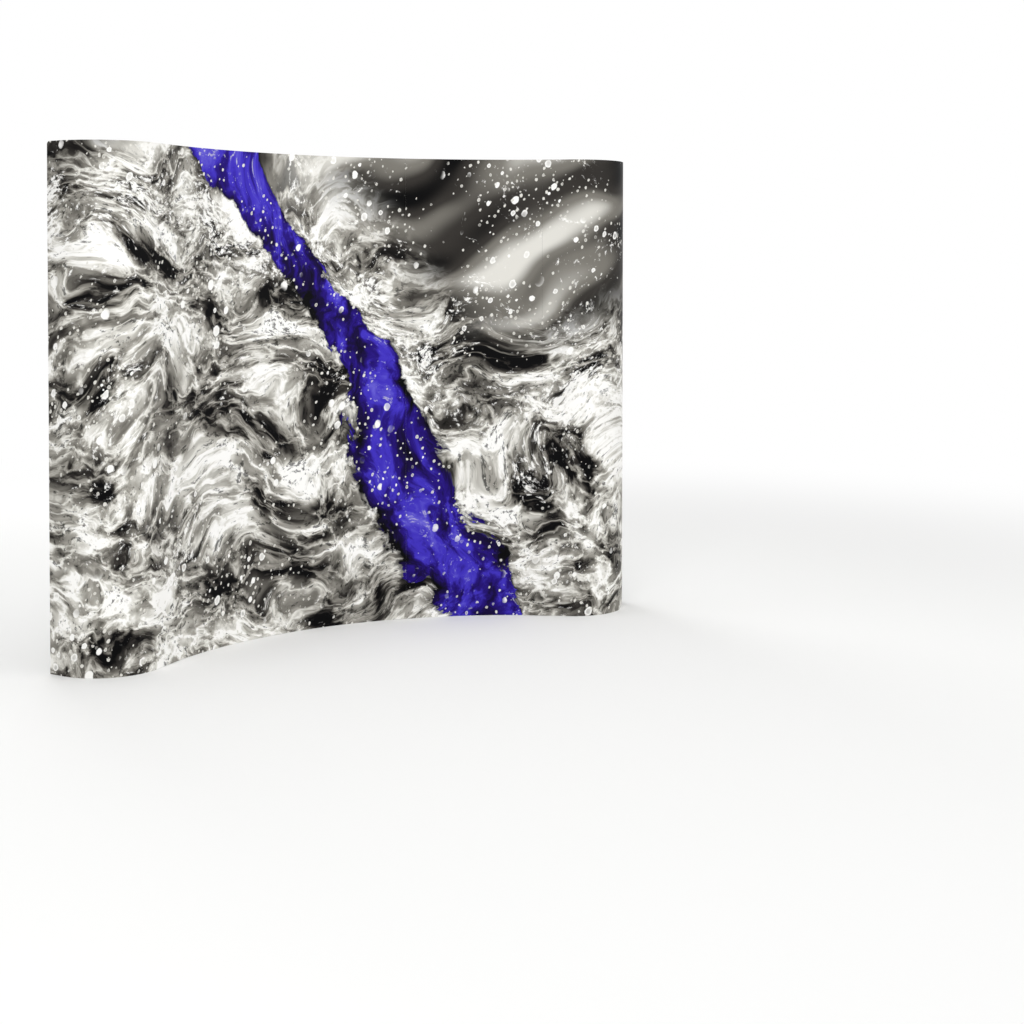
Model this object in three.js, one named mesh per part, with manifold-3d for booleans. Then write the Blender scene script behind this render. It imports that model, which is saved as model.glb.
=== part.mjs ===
// Curved pop up display backwall.
// A scissor frame of hubs and crossed tubes stands opened and locked. Four channel bars hang on
// the studs of its front hubs, and five printed panels hang on the ears of the top hubs: three
// between the bars, and one at each end that curls back round the side of the frame.
// Millimetres, +Z up. The print faces -Y. The origin is on the floor, under the middle.
//
// All the scissor pairs have tubes of one length, as a frame that folds flat must, so the height
// of a row follows from the width of a panel, the frame's depth and the angle between columns.

import * as THREE from 'three';
import { mergeVertices } from 'three/addons/utils/BufferGeometryUtils.js';
import Module from 'manifold-3d';

const wasm = await Module();
wasm.setup();

// ---------------------------------------------------------------- driving dimensions

// The print's plan: a hollow arc that runs on past the outer columns, a short straight, a curl
// back and a straight free edge.
const ARC_RADIUS = 1637.5;
const ARC_PAST_COLUMNS = 102.5;
const LEAD_OUT = 15.9;
const CURL_RADIUS = 258.9;
const CURL_ANGLE = THREE.MathUtils.degToRad(100.2);
const EDGE_STRAIGHT = 71.8;

// Panels.
const PANEL_WIDTH = 673;
const FRONT_PANELS = 3;
const PANEL_THICKNESS = 1;
const PANEL_SEAM = 0.5;
const PANEL_FLOOR_GAP = 2;
const PANEL_ABOVE_TOP_HUB = 40;
const PANEL_FREE_CORNER = 15;
const MAGNET_STRIP_WIDTH = 12;
const MAGNET_STRIP_THICKNESS = 1.5;
const MAGNET_STRIP_END_GAP = 4;

// Frame.
const ROWS = 4;
const FRAME_DEPTH = 194;
const HUB_SIZE = 72;
const HUB_DEPTH = 30;
const HUB_CORNER = 18;
const HUB_FACE_PLATE = 4;
const HUB_PIN_OFFSET = 24;
const HUB_PIN_DEPTH = 17;
const PIN_RADIUS = 2;
const TUBE_RADIUS = 6.5;
const TUBE_SPACING = 14;
const TUBE_START = 22;
const EYE_RADIUS = 7;
const EYE_THICKNESS = 8;
const NECK_WIDTH = 8;
const RIVET_RADIUS = 2.3;
const POST_RADIUS = 9;
const POST_CATCH_RADIUS = 13;
const POST_CATCH_LENGTH = 18;

// Channel bars and what they hang on.
const BAR_WIDTH = 30;
const BAR_DEPTH = 9;
const BAR_WALL = 1.2;
const BAR_FLOOR_GAP = 8;
const BAR_ABOVE_TOP_HUB = 24;
const KEY_PLATE_THICKNESS = 1.5;
const KEY_PLATE_ABOVE = 10;
const KEY_PLATE_BELOW = 24;
const STUD_NECK_RADIUS = 3.5;
const STUD_HEAD_RADIUS = 6;
const STUD_HEAD_THICKNESS = 2.5;
const BAR_TRAVEL = 12;

// Ears on the front hubs, and the panels' hooks over them.
const EAR_OFFSET = 24;
const EAR_WIDTH = 8;
const EAR_HEIGHT = 6;
const EAR_SHELF = 3;
const EAR_TROUGH = 5;
const EAR_LIP = 2.5;
const HOOK_THICKNESS = 2.4;
const HOOK_TOP_THICKNESS = 3;
const HOOK_OVER_LIP = 1.5;

// Fits.
const SEAT_GAP = 0.3;
const JOIN = 0.5;
const SINK_IN_SHEET = 0.6;

// Facets.
const ARC_STEP = THREE.MathUtils.degToRad(2.4);
const CURL_STEP = THREE.MathUtils.degToRad(6);
const TUBE_SIDES = 8;
const PIN_SIDES = 5;
const POST_SIDES = 8;
const STUD_SIDES = 6;
const EYE_ARC_STEPS = 2;

// ---------------------------------------------------------------- what follows from them

const COLUMNS = FRONT_PANELS + 1;
const BAY_ANGLE = PANEL_WIDTH / ARC_RADIUS;
const HALF_BAY = BAY_ANGLE / 2;
const LAST_COLUMN = FRONT_PANELS / 2 * PANEL_WIDTH;
const ARC_END = LAST_COLUMN + ARC_PAST_COLUMNS;
const ARC_HALF_ANGLE = ARC_END / ARC_RADIUS;
const CURL_END = ARC_END + LEAD_OUT + CURL_RADIUS * CURL_ANGLE;
const PRINT_END = CURL_END + EDGE_STRAIGHT;

// Distances from the arc's centre, from the print to the frame.
const PANEL_BACK = ARC_RADIUS + PANEL_THICKNESS;
const BAR_FRONT = PANEL_BACK + MAGNET_STRIP_THICKNESS + SEAT_GAP;
const BAR_BACK = BAR_FRONT + BAR_DEPTH;
const FRONT_FACE = BAR_BACK + SEAT_GAP;
const FRONT_PINS = FRONT_FACE + HUB_PIN_DEPTH;
const REAR_PINS = FRONT_PINS + FRAME_DEPTH;
const REAR_FACE = REAR_PINS + HUB_PIN_DEPTH;

// Half the distance between the pins of two neighbouring hubs, measured across the bay.
function halfPinSpan(radius) {
  return radius * Math.sin(HALF_BAY) - HUB_PIN_OFFSET * Math.cos(HALF_BAY);
}
const FRONT_SPAN = 2 * halfPinSpan(FRONT_PINS);
const REAR_SPAN = 2 * halfPinSpan(REAR_PINS);
const BAY_DEPTH = FRAME_DEPTH * Math.cos(HALF_BAY);
const TUBE_LENGTH = Math.hypot((FRONT_SPAN + REAR_SPAN) / 2, BAY_DEPTH);
const UPRIGHT_SPAN = Math.sqrt(TUBE_LENGTH ** 2 - FRAME_DEPTH ** 2);

const ROW_PITCH = UPRIGHT_SPAN + 2 * HUB_PIN_OFFSET;
const BOTTOM_HUB = HUB_SIZE / 2;
const TOP_HUB = BOTTOM_HUB + (ROWS - 1) * ROW_PITCH;
const PANEL_TOP = TOP_HUB + PANEL_ABOVE_TOP_HUB;

// A faceted hole is measured to its corners, so it is opened until its flats clear the pin.
const EYE_HOLE_RADIUS = (PIN_RADIUS + SEAT_GAP) / Math.cos(Math.PI / PIN_SIDES);
const SLOT_WIDTH = EYE_THICKNESS + 2 * SEAT_GAP;
const SLOT_START = HUB_PIN_OFFSET - EYE_RADIUS - 3;
const KEY_SLOT_RADIUS = STUD_NECK_RADIUS + SEAT_GAP;
const KEY_HOLE_RADIUS = STUD_HEAD_RADIUS + 2 * SEAT_GAP;
const HOOK_REACH = FRONT_FACE - PANEL_BACK;

// The front of the curl and the back of the middle hubs bound the whole depth.
const CURL_FRONT = (ARC_RADIUS + CURL_RADIUS) * Math.cos(ARC_HALF_ANGLE)
  - LEAD_OUT * Math.sin(ARC_HALF_ANGLE) - CURL_RADIUS;
const HUB_BACK = REAR_FACE * Math.cos(HALF_BAY) + HUB_SIZE / 2 * Math.sin(HALF_BAY);
const ARC_CENTRE_Y = -(CURL_FRONT + HUB_BACK) / 2;

// ---------------------------------------------------------------- materials

function material(name, color, roughness, metalness) {
  return new THREE.MeshStandardMaterial({ name, color, roughness, metalness });
}
const PRINT = material('printed laminate', 0x96948c, 0.35, 0);
const MOULDING = material('black moulding', 0x151515, 0.5, 0);
const ALUMINIUM = material('anodised tube', 0xb4b6b8, 0.35, 1);
const STEEL = material('painted channel', 0x303236, 0.4, 0.6);

// ---------------------------------------------------------------- solids

function solid(geometry) {
  const bare = geometry.index ? geometry.toNonIndexed() : geometry.clone();
  bare.deleteAttribute('normal');
  bare.deleteAttribute('uv');
  const merged = mergeVertices(bare, 1e-4);
  const vertProperties = merged.attributes.position.array;
  const triVerts = new Uint32Array(merged.index.array);
  return new wasm.Manifold(new wasm.Mesh({ numProp: 3, vertProperties, triVerts }));
}

function geometryOf(made) {
  const { vertProperties, triVerts } = made.getMesh();
  const geometry = new THREE.BufferGeometry();
  geometry.setAttribute('position', new THREE.BufferAttribute(vertProperties, 3));
  geometry.setIndex(new THREE.BufferAttribute(triVerts, 1));
  const flat = geometry.toNonIndexed();
  flat.computeVertexNormals();
  return flat;
}

function box([x0, x1], [y0, y1], [z0, z1]) {
  const geometry = new THREE.BoxGeometry(x1 - x0, y1 - y0, z1 - z0);
  return solid(geometry.translate((x0 + x1) / 2, (y0 + y1) / 2, (z0 + z1) / 2));
}

// A round bar between two points along one axis: 0 for X, 1 for Y, 2 for Z.
function rod(radius, sides, axis, start, end, centre = [0, 0]) {
  const geometry = new THREE.CylinderGeometry(radius, radius, end - start, sides);
  geometry.translate(0, (start + end) / 2, 0);
  if (axis === 0) geometry.rotateZ(-Math.PI / 2).translate(0, centre[0], centre[1]);
  if (axis === 1) geometry.translate(centre[0], 0, centre[1]);
  if (axis === 2) geometry.rotateX(Math.PI / 2).translate(centre[0], centre[1], 0);
  return solid(geometry);
}

function moved(made, matrix) {
  return made.transform(matrix.elements);
}

function turnedAbout(axis, angle, made) {
  return moved(made, new THREE.Matrix4().makeRotationAxis(axis, angle));
}

// ---------------------------------------------------------------- hubs

const LENGTH_AXIS = new THREE.Vector3(1, 0, 0);
const DEPTH_AXIS = new THREE.Vector3(0, 1, 0);
const UP_AXIS = new THREE.Vector3(0, 0, 1);

// A square with its corners cut, thick along +Y from the face at y = 0.
function hubBlank() {
  const half = HUB_SIZE / 2;
  const cut = half - HUB_CORNER;
  const outline = new THREE.Shape([
    new THREE.Vector2(cut, -half), new THREE.Vector2(half, -cut),
    new THREE.Vector2(half, cut), new THREE.Vector2(cut, half),
    new THREE.Vector2(-cut, half), new THREE.Vector2(-half, cut),
    new THREE.Vector2(-half, -cut), new THREE.Vector2(-cut, -half),
  ]);
  const settings = { depth: HUB_DEPTH, bevelEnabled: false };
  const geometry = new THREE.ExtrudeGeometry(outline, settings);
  return solid(geometry.rotateX(Math.PI / 2).translate(0, HUB_DEPTH, 0));
}

// One slot with its pin. Each tube lies half the spacing to one side of the hub's middle.
function hubSlot() {
  const middle = TUBE_SPACING / 2;
  const sides = [middle - SLOT_WIDTH / 2, middle + SLOT_WIDTH / 2];
  return box([SLOT_START, HUB_SIZE / 2 + JOIN], [HUB_FACE_PLATE, HUB_DEPTH + JOIN], sides);
}

function hubPin() {
  const middle = TUBE_SPACING / 2;
  const reach = SLOT_WIDTH / 2 + JOIN;
  const centre = [HUB_PIN_OFFSET, HUB_PIN_DEPTH];
  return rod(PIN_RADIUS, PIN_SIDES, 2, middle - reach, middle + reach, centre);
}

// Every hub has four slots, to the right, top, left and bottom in turn, and a pin where a tube
// is. Seen from its own face a hub's slots turn the same way at the front and at the rear.
function plainHub(usedSlots) {
  let hub = hubBlank();
  for (let quarter = 0; quarter < 4; quarter += 1) {
    hub = hub.subtract(turnedAbout(DEPTH_AXIS, -quarter * Math.PI / 2, hubSlot()));
  }
  for (let quarter = 0; quarter < 4; quarter += 1) {
    const pin = turnedAbout(DEPTH_AXIS, -quarter * Math.PI / 2, hubPin());
    if (usedSlots[quarter]) hub = hub.add(pin);
  }
  return hub;
}

// The stud that a channel bar's keyhole drops over.
function stud() {
  const neckEnd = -(SEAT_GAP + KEY_PLATE_THICKNESS + SEAT_GAP);
  const neck = rod(STUD_NECK_RADIUS, STUD_SIDES, 1, neckEnd - JOIN, JOIN);
  const head = rod(STUD_HEAD_RADIUS, STUD_SIDES, 1, neckEnd - STUD_HEAD_THICKNESS, neckEnd);
  return neck.add(head);
}

// An upward hook for a panel, as a shelf with a lip at its front.
function ear(side) {
  const across = [side * EAR_OFFSET - EAR_WIDTH / 2, side * EAR_OFFSET + EAR_WIDTH / 2];
  const lipFront = -EAR_TROUGH - EAR_LIP;
  const shelf = box(across, [lipFront, JOIN], [EAR_HEIGHT - EAR_SHELF, EAR_HEIGHT]);
  const lip = box(across, [lipFront, -EAR_TROUGH], [EAR_HEIGHT - EAR_SHELF, 2 * EAR_HEIGHT]);
  return shelf.add(lip);
}

function frontHub([right, up, left, down]) {
  const hub = plainHub([right, up, left, down]).add(stud());
  return up ? hub : hub.add(ear(1)).add(ear(-1));
}

// A rear hub has its face to the back, so its right and left change places.
function rearHub([right, up, left, down]) {
  return turnedAbout(UP_AXIS, Math.PI, plainHub([left, up, right, down]));
}

// Front and rear hub held apart by the two halves of their locking post, caught together.
function lockedHubs(tubes) {
  const rearFace = REAR_FACE - FRONT_FACE;
  const rear = moved(rearHub(tubes), new THREE.Matrix4().makeTranslation(0, rearFace, 0));
  const post = rod(POST_RADIUS, POST_SIDES, 1, HUB_DEPTH - JOIN, rearFace - HUB_DEPTH + JOIN);
  const middle = rearFace / 2;
  const catchEnds = [middle - POST_CATCH_LENGTH / 2, middle + POST_CATCH_LENGTH / 2];
  const joint = rod(POST_CATCH_RADIUS, POST_SIDES, 1, catchEnds[0], catchEnds[1]);
  return frontHub(tubes).add(rear).add(post).add(joint);
}

// ---------------------------------------------------------------- scissor pairs

// One end of a tube: a neck that plugs the tube, and an eye on the hub's pin at x = 0.
function eyeOutline() {
  const outline = new THREE.Shape();
  const spread = Math.asin(NECK_WIDTH / 2 / EYE_RADIUS);
  outline.absarc(0, 0, EYE_RADIUS, spread, 2 * Math.PI - spread, false);
  outline.lineTo(TUBE_START + 2 * JOIN, -NECK_WIDTH / 2);
  outline.lineTo(TUBE_START + 2 * JOIN, NECK_WIDTH / 2);
  return outline;
}

function tubeEnd() {
  const settings = { depth: EYE_THICKNESS, bevelEnabled: false, curveSegments: EYE_ARC_STEPS };
  const geometry = new THREE.ExtrudeGeometry(eyeOutline(), settings);
  const plug = solid(geometry.translate(0, 0, -EYE_THICKNESS / 2));
  const hole = rod(EYE_HOLE_RADIUS, PIN_SIDES, 2, -EYE_THICKNESS, EYE_THICKNESS);
  return plug.subtract(hole);
}

// A tube from the pin at x = 0 to the pin at x = TUBE_LENGTH, with a facet to each side.
function link() {
  const round = rod(TUBE_RADIUS, TUBE_SIDES, 0, TUBE_START, TUBE_LENGTH - TUBE_START);
  const tube = turnedAbout(LENGTH_AXIS, Math.PI / TUBE_SIDES, round);
  const farEnd = turnedAbout(UP_AXIS, Math.PI, tubeEnd());
  const placed = moved(farEnd, new THREE.Matrix4().makeTranslation(TUBE_LENGTH, 0, 0));
  return tube.add(tubeEnd()).add(placed);
}

// Two tubes side by side that cross at a rivet. X runs along the bay, and Y to the back.
function scissorPair(frontSpan, rearSpan, depth) {
  const side = TUBE_SPACING / 2;
  const slope = Math.atan2(depth, (frontSpan + rearSpan) / 2);
  const forth = turnedAbout(UP_AXIS, slope, link());
  const back = turnedAbout(UP_AXIS, Math.PI - slope, link());
  const first = new THREE.Matrix4().makeTranslation(-frontSpan / 2, 0, side);
  const second = new THREE.Matrix4().makeTranslation(frontSpan / 2, 0, -side);
  const crossing = depth * frontSpan / (frontSpan + rearSpan);
  const reach = side - TUBE_RADIUS * Math.cos(Math.PI / TUBE_SIDES) + JOIN;
  const rivet = rod(RIVET_RADIUS, STUD_SIDES, 2, -reach, reach, [0, crossing]);
  return moved(forth, first).add(moved(back, second)).add(rivet);
}

// ---------------------------------------------------------------- channel bars

// A plate across the channel's open back, with the keyhole for one stud at z = 0.
function keyPlate() {
  const inside = BAR_WIDTH / 2 - BAR_WALL + JOIN;
  const ends = [BAR_BACK - KEY_PLATE_THICKNESS, BAR_BACK];
  const through = [ends[0] - 1, ends[1] + 1];
  const plate = box([-inside, inside], ends, [-KEY_PLATE_BELOW, KEY_PLATE_ABOVE]);
  const slot = box([-KEY_SLOT_RADIUS, KEY_SLOT_RADIUS], through, [-BAR_TRAVEL, 0]);
  const seat = rod(KEY_SLOT_RADIUS, STUD_SIDES, 1, through[0], through[1]);
  const hole = rod(KEY_HOLE_RADIUS, STUD_SIDES, 1, through[0], through[1], [0, -BAR_TRAVEL]);
  return plate.subtract(slot).subtract(seat).subtract(hole);
}

function channelBar() {
  const half = BAR_WIDTH / 2;
  const heights = [BAR_FLOOR_GAP, TOP_HUB + BAR_ABOVE_TOP_HUB];
  const outside = box([-half, half], [BAR_FRONT, BAR_BACK], heights);
  const hollow = box(
    [-half + BAR_WALL, half - BAR_WALL],
    [BAR_FRONT + BAR_WALL, BAR_BACK + 1],
    [heights[0] - 1, heights[1] + 1],
  );
  let bar = outside.subtract(hollow);
  for (let row = 0; row < ROWS; row += 1) {
    const lift = new THREE.Matrix4().makeTranslation(0, 0, BOTTOM_HUB + row * ROW_PITCH);
    bar = bar.add(moved(keyPlate(), lift));
  }
  return bar;
}

// ---------------------------------------------------------------- panels

// Where the print is at a length from the middle, to the right, with the way to its back.
function station(length) {
  const turned = Math.min(length / ARC_RADIUS, ARC_HALF_ANGLE);
  const back = new THREE.Vector2(Math.sin(turned), Math.cos(turned));
  const point = back.clone().multiplyScalar(ARC_RADIUS);
  const lead = Math.max(0, Math.min(length - ARC_END, LEAD_OUT));
  point.addScaledVector(new THREE.Vector2(back.y, -back.x), lead);
  const curled = Math.max(0, Math.min((length - ARC_END - LEAD_OUT) / CURL_RADIUS, CURL_ANGLE));
  const curlCentre = point.clone().addScaledVector(back, CURL_RADIUS);
  back.rotateAround(new THREE.Vector2(), curled);
  point.copy(curlCentre).addScaledVector(back, -CURL_RADIUS);
  const left = Math.max(0, length - CURL_END);
  point.addScaledVector(new THREE.Vector2(back.y, -back.x), left);
  point.y += ARC_CENTRE_Y;
  return { point, back };
}

function evenSteps(start, end, step) {
  const count = Math.max(1, Math.ceil((end - start) / step));
  return Array.from({ length: count }, (_, index) => start + (end - start) * index / count);
}

// The print's point at a signed length, pushed back by a thickness.
function printPoint(length, thickness) {
  const { point, back } = station(Math.abs(length));
  point.addScaledVector(back, thickness);
  point.x *= Math.sign(length) || 1;
  return point;
}

// A band that follows the print through some lengths, between two depths behind its face.
function band(lengths, [near, far], [low, high]) {
  const front = lengths.map((length) => printPoint(length, near));
  const rear = lengths.map((length) => printPoint(length, far));
  const outline = new THREE.Shape([...front, ...rear.reverse()]);
  const settings = { depth: high - low, bevelEnabled: false };
  return solid(new THREE.ExtrudeGeometry(outline, settings).translate(0, 0, low));
}

function sheet(lengths) {
  return band(lengths, [0, PANEL_THICKNESS], [PANEL_FLOOR_GAP, PANEL_TOP]);
}

// The magnet strip behind a panel's edge, between two lengths.
function magnetStrip(lengths) {
  const depths = [PANEL_THICKNESS - JOIN, PANEL_THICKNESS + MAGNET_STRIP_THICKNESS];
  const heights = [PANEL_FLOOR_GAP + MAGNET_STRIP_END_GAP, PANEL_TOP - MAGNET_STRIP_END_GAP];
  return band(lengths, depths, heights);
}

// A panel's hook over the ear on one side of a top hub, in that column's place.
function hook(columnAngle, side) {
  const across = [side * EAR_OFFSET - EAR_WIDTH / 2, side * EAR_OFFSET + EAR_WIDTH / 2];
  const legMiddle = FRONT_FACE - EAR_TROUGH / 2;
  const leg = [legMiddle - HOOK_THICKNESS / 2, legMiddle + HOOK_THICKNESS / 2];
  const over = TOP_HUB + 2 * EAR_HEIGHT + HOOK_OVER_LIP;
  const drop = box(across, leg, [TOP_HUB + EAR_HEIGHT + SEAT_GAP, over + HOOK_TOP_THICKNESS]);
  const start = FRONT_FACE - HOOK_REACH - SINK_IN_SHEET;
  const top = box(across, [start, leg[1]], [over, over + HOOK_TOP_THICKNESS]);
  const place = new THREE.Matrix4().makeTranslation(0, ARC_CENTRE_Y, 0);
  place.multiply(new THREE.Matrix4().makeRotationZ(-columnAngle));
  return moved(drop.add(top), place);
}

function frontPanel(index) {
  const middle = (index - (FRONT_PANELS - 1) / 2) * PANEL_WIDTH;
  const low = middle - (PANEL_WIDTH - PANEL_SEAM) / 2;
  const high = middle + (PANEL_WIDTH - PANEL_SEAM) / 2;
  const strips = [[low, low + MAGNET_STRIP_WIDTH], [high - MAGNET_STRIP_WIDTH, high]];
  const inner = evenSteps(strips[0][1], strips[1][0], ARC_RADIUS * ARC_STEP);
  return sheet([low, ...inner, ...strips[1]])
    .add(magnetStrip(strips[0]))
    .add(magnetStrip(strips[1]))
    .add(hook((middle - PANEL_WIDTH / 2) / ARC_RADIUS, 1))
    .add(hook((middle + PANEL_WIDTH / 2) / ARC_RADIUS, -1));
}

// What rounds the free edge's top corner off: a block less a round plate, behind the sheet.
function cornerCutter(side) {
  const { point, back } = station(PRINT_END);
  const radius = PANEL_FREE_CORNER;
  const reach = [-radius, radius + PANEL_THICKNESS];
  const block = box([-radius, 1], reach, [-radius, 1]);
  const round = rod(radius, 4 * STUD_SIDES, 1, reach[0] - 1, reach[1] + 1, [-radius, -radius]);
  const along = new THREE.Vector2(back.y, -back.x);
  const place = new THREE.Matrix4().makeTranslation(side * point.x, point.y, PANEL_TOP);
  place.multiply(new THREE.Matrix4().makeRotationZ(Math.atan2(along.y, side * along.x)));
  return moved(block.subtract(round), place);
}

function endPanel(side) {
  const low = LAST_COLUMN + PANEL_SEAM / 2;
  const stripEnd = low + MAGNET_STRIP_WIDTH;
  const lengths = [
    low,
    ...evenSteps(stripEnd, ARC_END, ARC_RADIUS * ARC_STEP),
    ARC_END,
    ...evenSteps(ARC_END + LEAD_OUT, CURL_END, CURL_RADIUS * CURL_STEP),
    CURL_END,
    PRINT_END,
  ];
  const signed = side > 0 ? lengths : lengths.map((length) => -length).reverse();
  const strip = [side * low, side * stripEnd].sort((a, b) => a - b);
  return sheet(signed)
    .subtract(cornerCutter(side))
    .add(magnetStrip(strip))
    .add(hook(side * LAST_COLUMN / ARC_RADIUS, side));
}

// ---------------------------------------------------------------- assembly

function piece(name, geometry, finish) {
  const mesh = new THREE.Mesh(geometry, finish);
  mesh.name = name;
  return mesh;
}

// A group whose +Y leads straight back from the arc's centre at an angle to the right.
function fromArcCentre(angle) {
  const group = new THREE.Group();
  group.position.set(0, ARC_CENTRE_Y, 0);
  group.rotation.z = -angle;
  return group;
}

const CROSS_PAIR = geometryOf(scissorPair(FRONT_SPAN, REAR_SPAN, BAY_DEPTH));
const UPRIGHT_PAIR = geometryOf(scissorPair(UPRIGHT_SPAN, UPRIGHT_SPAN, FRAME_DEPTH));
const CHANNEL_BAR = geometryOf(channelBar());

function rowHeight(row) {
  return BOTTOM_HUB + row * ROW_PITCH;
}

// The outer columns have free hubs, and the inner ones lock front to rear.
function hubsOf(column, row) {
  const place = `c${column + 1}_r${row + 1}`;
  const tubes = [column < COLUMNS - 1, row < ROWS - 1, column > 0, row > 0];
  if (column > 0 && column < COLUMNS - 1) {
    const locked = piece(`locked_hubs_${place}`, geometryOf(lockedHubs(tubes)), MOULDING);
    locked.position.set(0, FRONT_FACE, rowHeight(row));
    return [locked];
  }
  const front = piece(`front_hub_${place}`, geometryOf(frontHub(tubes)), MOULDING);
  front.position.set(0, FRONT_FACE, rowHeight(row));
  const rear = piece(`rear_hub_${place}`, geometryOf(rearHub(tubes)), MOULDING);
  rear.position.set(0, REAR_FACE, rowHeight(row));
  return [front, rear];
}

function uprightPair(column, level) {
  const pair = piece(`upright_tubes_c${column + 1}_l${level + 1}`, UPRIGHT_PAIR, ALUMINIUM);
  pair.position.set(0, FRONT_PINS, rowHeight(level + 0.5));
  pair.rotation.y = -Math.PI / 2;
  return pair;
}

function columnOf(column) {
  const group = fromArcCentre((column - FRONT_PANELS / 2) * BAY_ANGLE);
  for (let row = 0; row < ROWS; row += 1) group.add(...hubsOf(column, row));
  for (let level = 0; level < ROWS - 1; level += 1) group.add(uprightPair(column, level));
  group.add(piece(`channel_bar_c${column + 1}`, CHANNEL_BAR, STEEL));
  return group;
}

function bayOf(bay) {
  const group = fromArcCentre((bay - (FRONT_PANELS - 1) / 2) * BAY_ANGLE);
  const frontPinLine = FRONT_PINS * Math.cos(HALF_BAY) + HUB_PIN_OFFSET * Math.sin(HALF_BAY);
  for (let row = 0; row < ROWS; row += 1) {
    const pair = piece(`cross_tubes_b${bay + 1}_r${row + 1}`, CROSS_PAIR, ALUMINIUM);
    pair.position.set(0, frontPinLine, rowHeight(row));
    group.add(pair);
  }
  return group;
}

const display = new THREE.Group();
for (let column = 0; column < COLUMNS; column += 1) display.add(columnOf(column));
for (let bay = 0; bay < FRONT_PANELS; bay += 1) display.add(bayOf(bay));
for (let index = 0; index < FRONT_PANELS; index += 1) {
  display.add(piece(`front_panel_${index + 1}`, geometryOf(frontPanel(index)), PRINT));
}
display.add(piece('end_panel_left', geometryOf(endPanel(-1)), PRINT));
display.add(piece('end_panel_right', geometryOf(endPanel(1)), PRINT));

export default display;
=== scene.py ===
"""Looks of a curved pop up display backwall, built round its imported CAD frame.

Metres, +Z up, as in the CAD source. The print faces -Y. Every solid of the frame has a finer piece
in its place: printed panels with magnet strips and hangers, folding channel bars, ribbed hubs with
their pins and locking posts, and pairs of crossed tubes with moulded ends and a rivet.
"""

from math import ceil, cos, pi, radians, sin, sqrt, tau

import bmesh
import bpy
from mathutils import Matrix, Vector


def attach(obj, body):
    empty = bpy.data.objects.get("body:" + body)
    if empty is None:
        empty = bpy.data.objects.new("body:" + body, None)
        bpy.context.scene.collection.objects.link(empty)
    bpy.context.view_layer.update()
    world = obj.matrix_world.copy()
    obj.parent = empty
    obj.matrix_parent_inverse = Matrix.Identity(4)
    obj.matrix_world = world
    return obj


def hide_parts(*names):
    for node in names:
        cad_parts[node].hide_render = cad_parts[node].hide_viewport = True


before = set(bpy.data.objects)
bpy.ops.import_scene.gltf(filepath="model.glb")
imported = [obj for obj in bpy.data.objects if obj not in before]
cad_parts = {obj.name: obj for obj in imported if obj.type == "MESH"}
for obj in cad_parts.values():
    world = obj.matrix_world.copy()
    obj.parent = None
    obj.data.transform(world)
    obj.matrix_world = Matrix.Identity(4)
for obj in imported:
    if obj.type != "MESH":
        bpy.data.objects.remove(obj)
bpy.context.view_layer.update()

# ---- sizes

# The print's plan.
ARC_RADIUS = 1.6375
ARC_PAST_COLUMNS = 0.1025
LEAD_OUT = 0.0159
CURL_RADIUS = 0.2589
CURL_ANGLE = radians(100.2)
EDGE_STRAIGHT = 0.0718

# Panels.
PANEL_WIDTH = 0.673
FRONT_PANELS = 3
PANEL_THICKNESS = 0.001
PANEL_SEAM = 0.0005
PANEL_FLOOR_GAP = 0.002
PANEL_ABOVE_TOP_HUB = 0.040
PANEL_FREE_CORNER = 0.015
MAGNET_STRIP_WIDTH = 0.012
MAGNET_STRIP_THICKNESS = 0.0015
MAGNET_STRIP_END_GAP = 0.004

# Frame.
ROWS = 4
FRAME_DEPTH = 0.194
HUB_SIZE = 0.072
HUB_DEPTH = 0.030
HUB_CORNER = 0.018
HUB_FACE_PLATE = 0.004
HUB_PIN_OFFSET = 0.024
HUB_PIN_DEPTH = 0.017
PIN_RADIUS = 0.002
TUBE_RADIUS = 0.0065
TUBE_SPACING = 0.014
TUBE_START = 0.022
EYE_RADIUS = 0.007
EYE_THICKNESS = 0.008
NECK_WIDTH = 0.008
POST_RADIUS = 0.009
POST_CATCH_RADIUS = 0.013
POST_CATCH_LENGTH = 0.018
SEAT_GAP = 0.0003

# Channel bars, studs, ears and hangers.
BAR_WIDTH = 0.030
BAR_DEPTH = 0.009
BAR_WALL = 0.0012
BAR_FLOOR_GAP = 0.008
BAR_ABOVE_TOP_HUB = 0.024
BAR_TRAVEL = 0.012
KEY_PLATE_THICKNESS = 0.0015
KEY_PLATE_ABOVE = 0.010
KEY_PLATE_BELOW = 0.024
STUD_NECK_RADIUS = 0.0035
STUD_HEAD_RADIUS = 0.006
STUD_HEAD_THICKNESS = 0.0025
EAR_OFFSET = 0.024
EAR_WIDTH = 0.008
EAR_HEIGHT = 0.006
EAR_SHELF = 0.003
EAR_TROUGH = 0.005
EAR_LIP = 0.0025
HOOK_THICKNESS = 0.0024
HOOK_TOP_THICKNESS = 0.003
HOOK_OVER_LIP = 0.0015

# What follows from them, as in the CAD source.
COLUMNS = FRONT_PANELS + 1
BAY_ANGLE = PANEL_WIDTH / ARC_RADIUS
HALF_BAY = BAY_ANGLE / 2
LAST_COLUMN = FRONT_PANELS / 2 * PANEL_WIDTH
ARC_END = LAST_COLUMN + ARC_PAST_COLUMNS
ARC_HALF_ANGLE = ARC_END / ARC_RADIUS
CURL_START = ARC_END + LEAD_OUT
CURL_END = CURL_START + CURL_RADIUS * CURL_ANGLE
PRINT_END = CURL_END + EDGE_STRAIGHT

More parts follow.
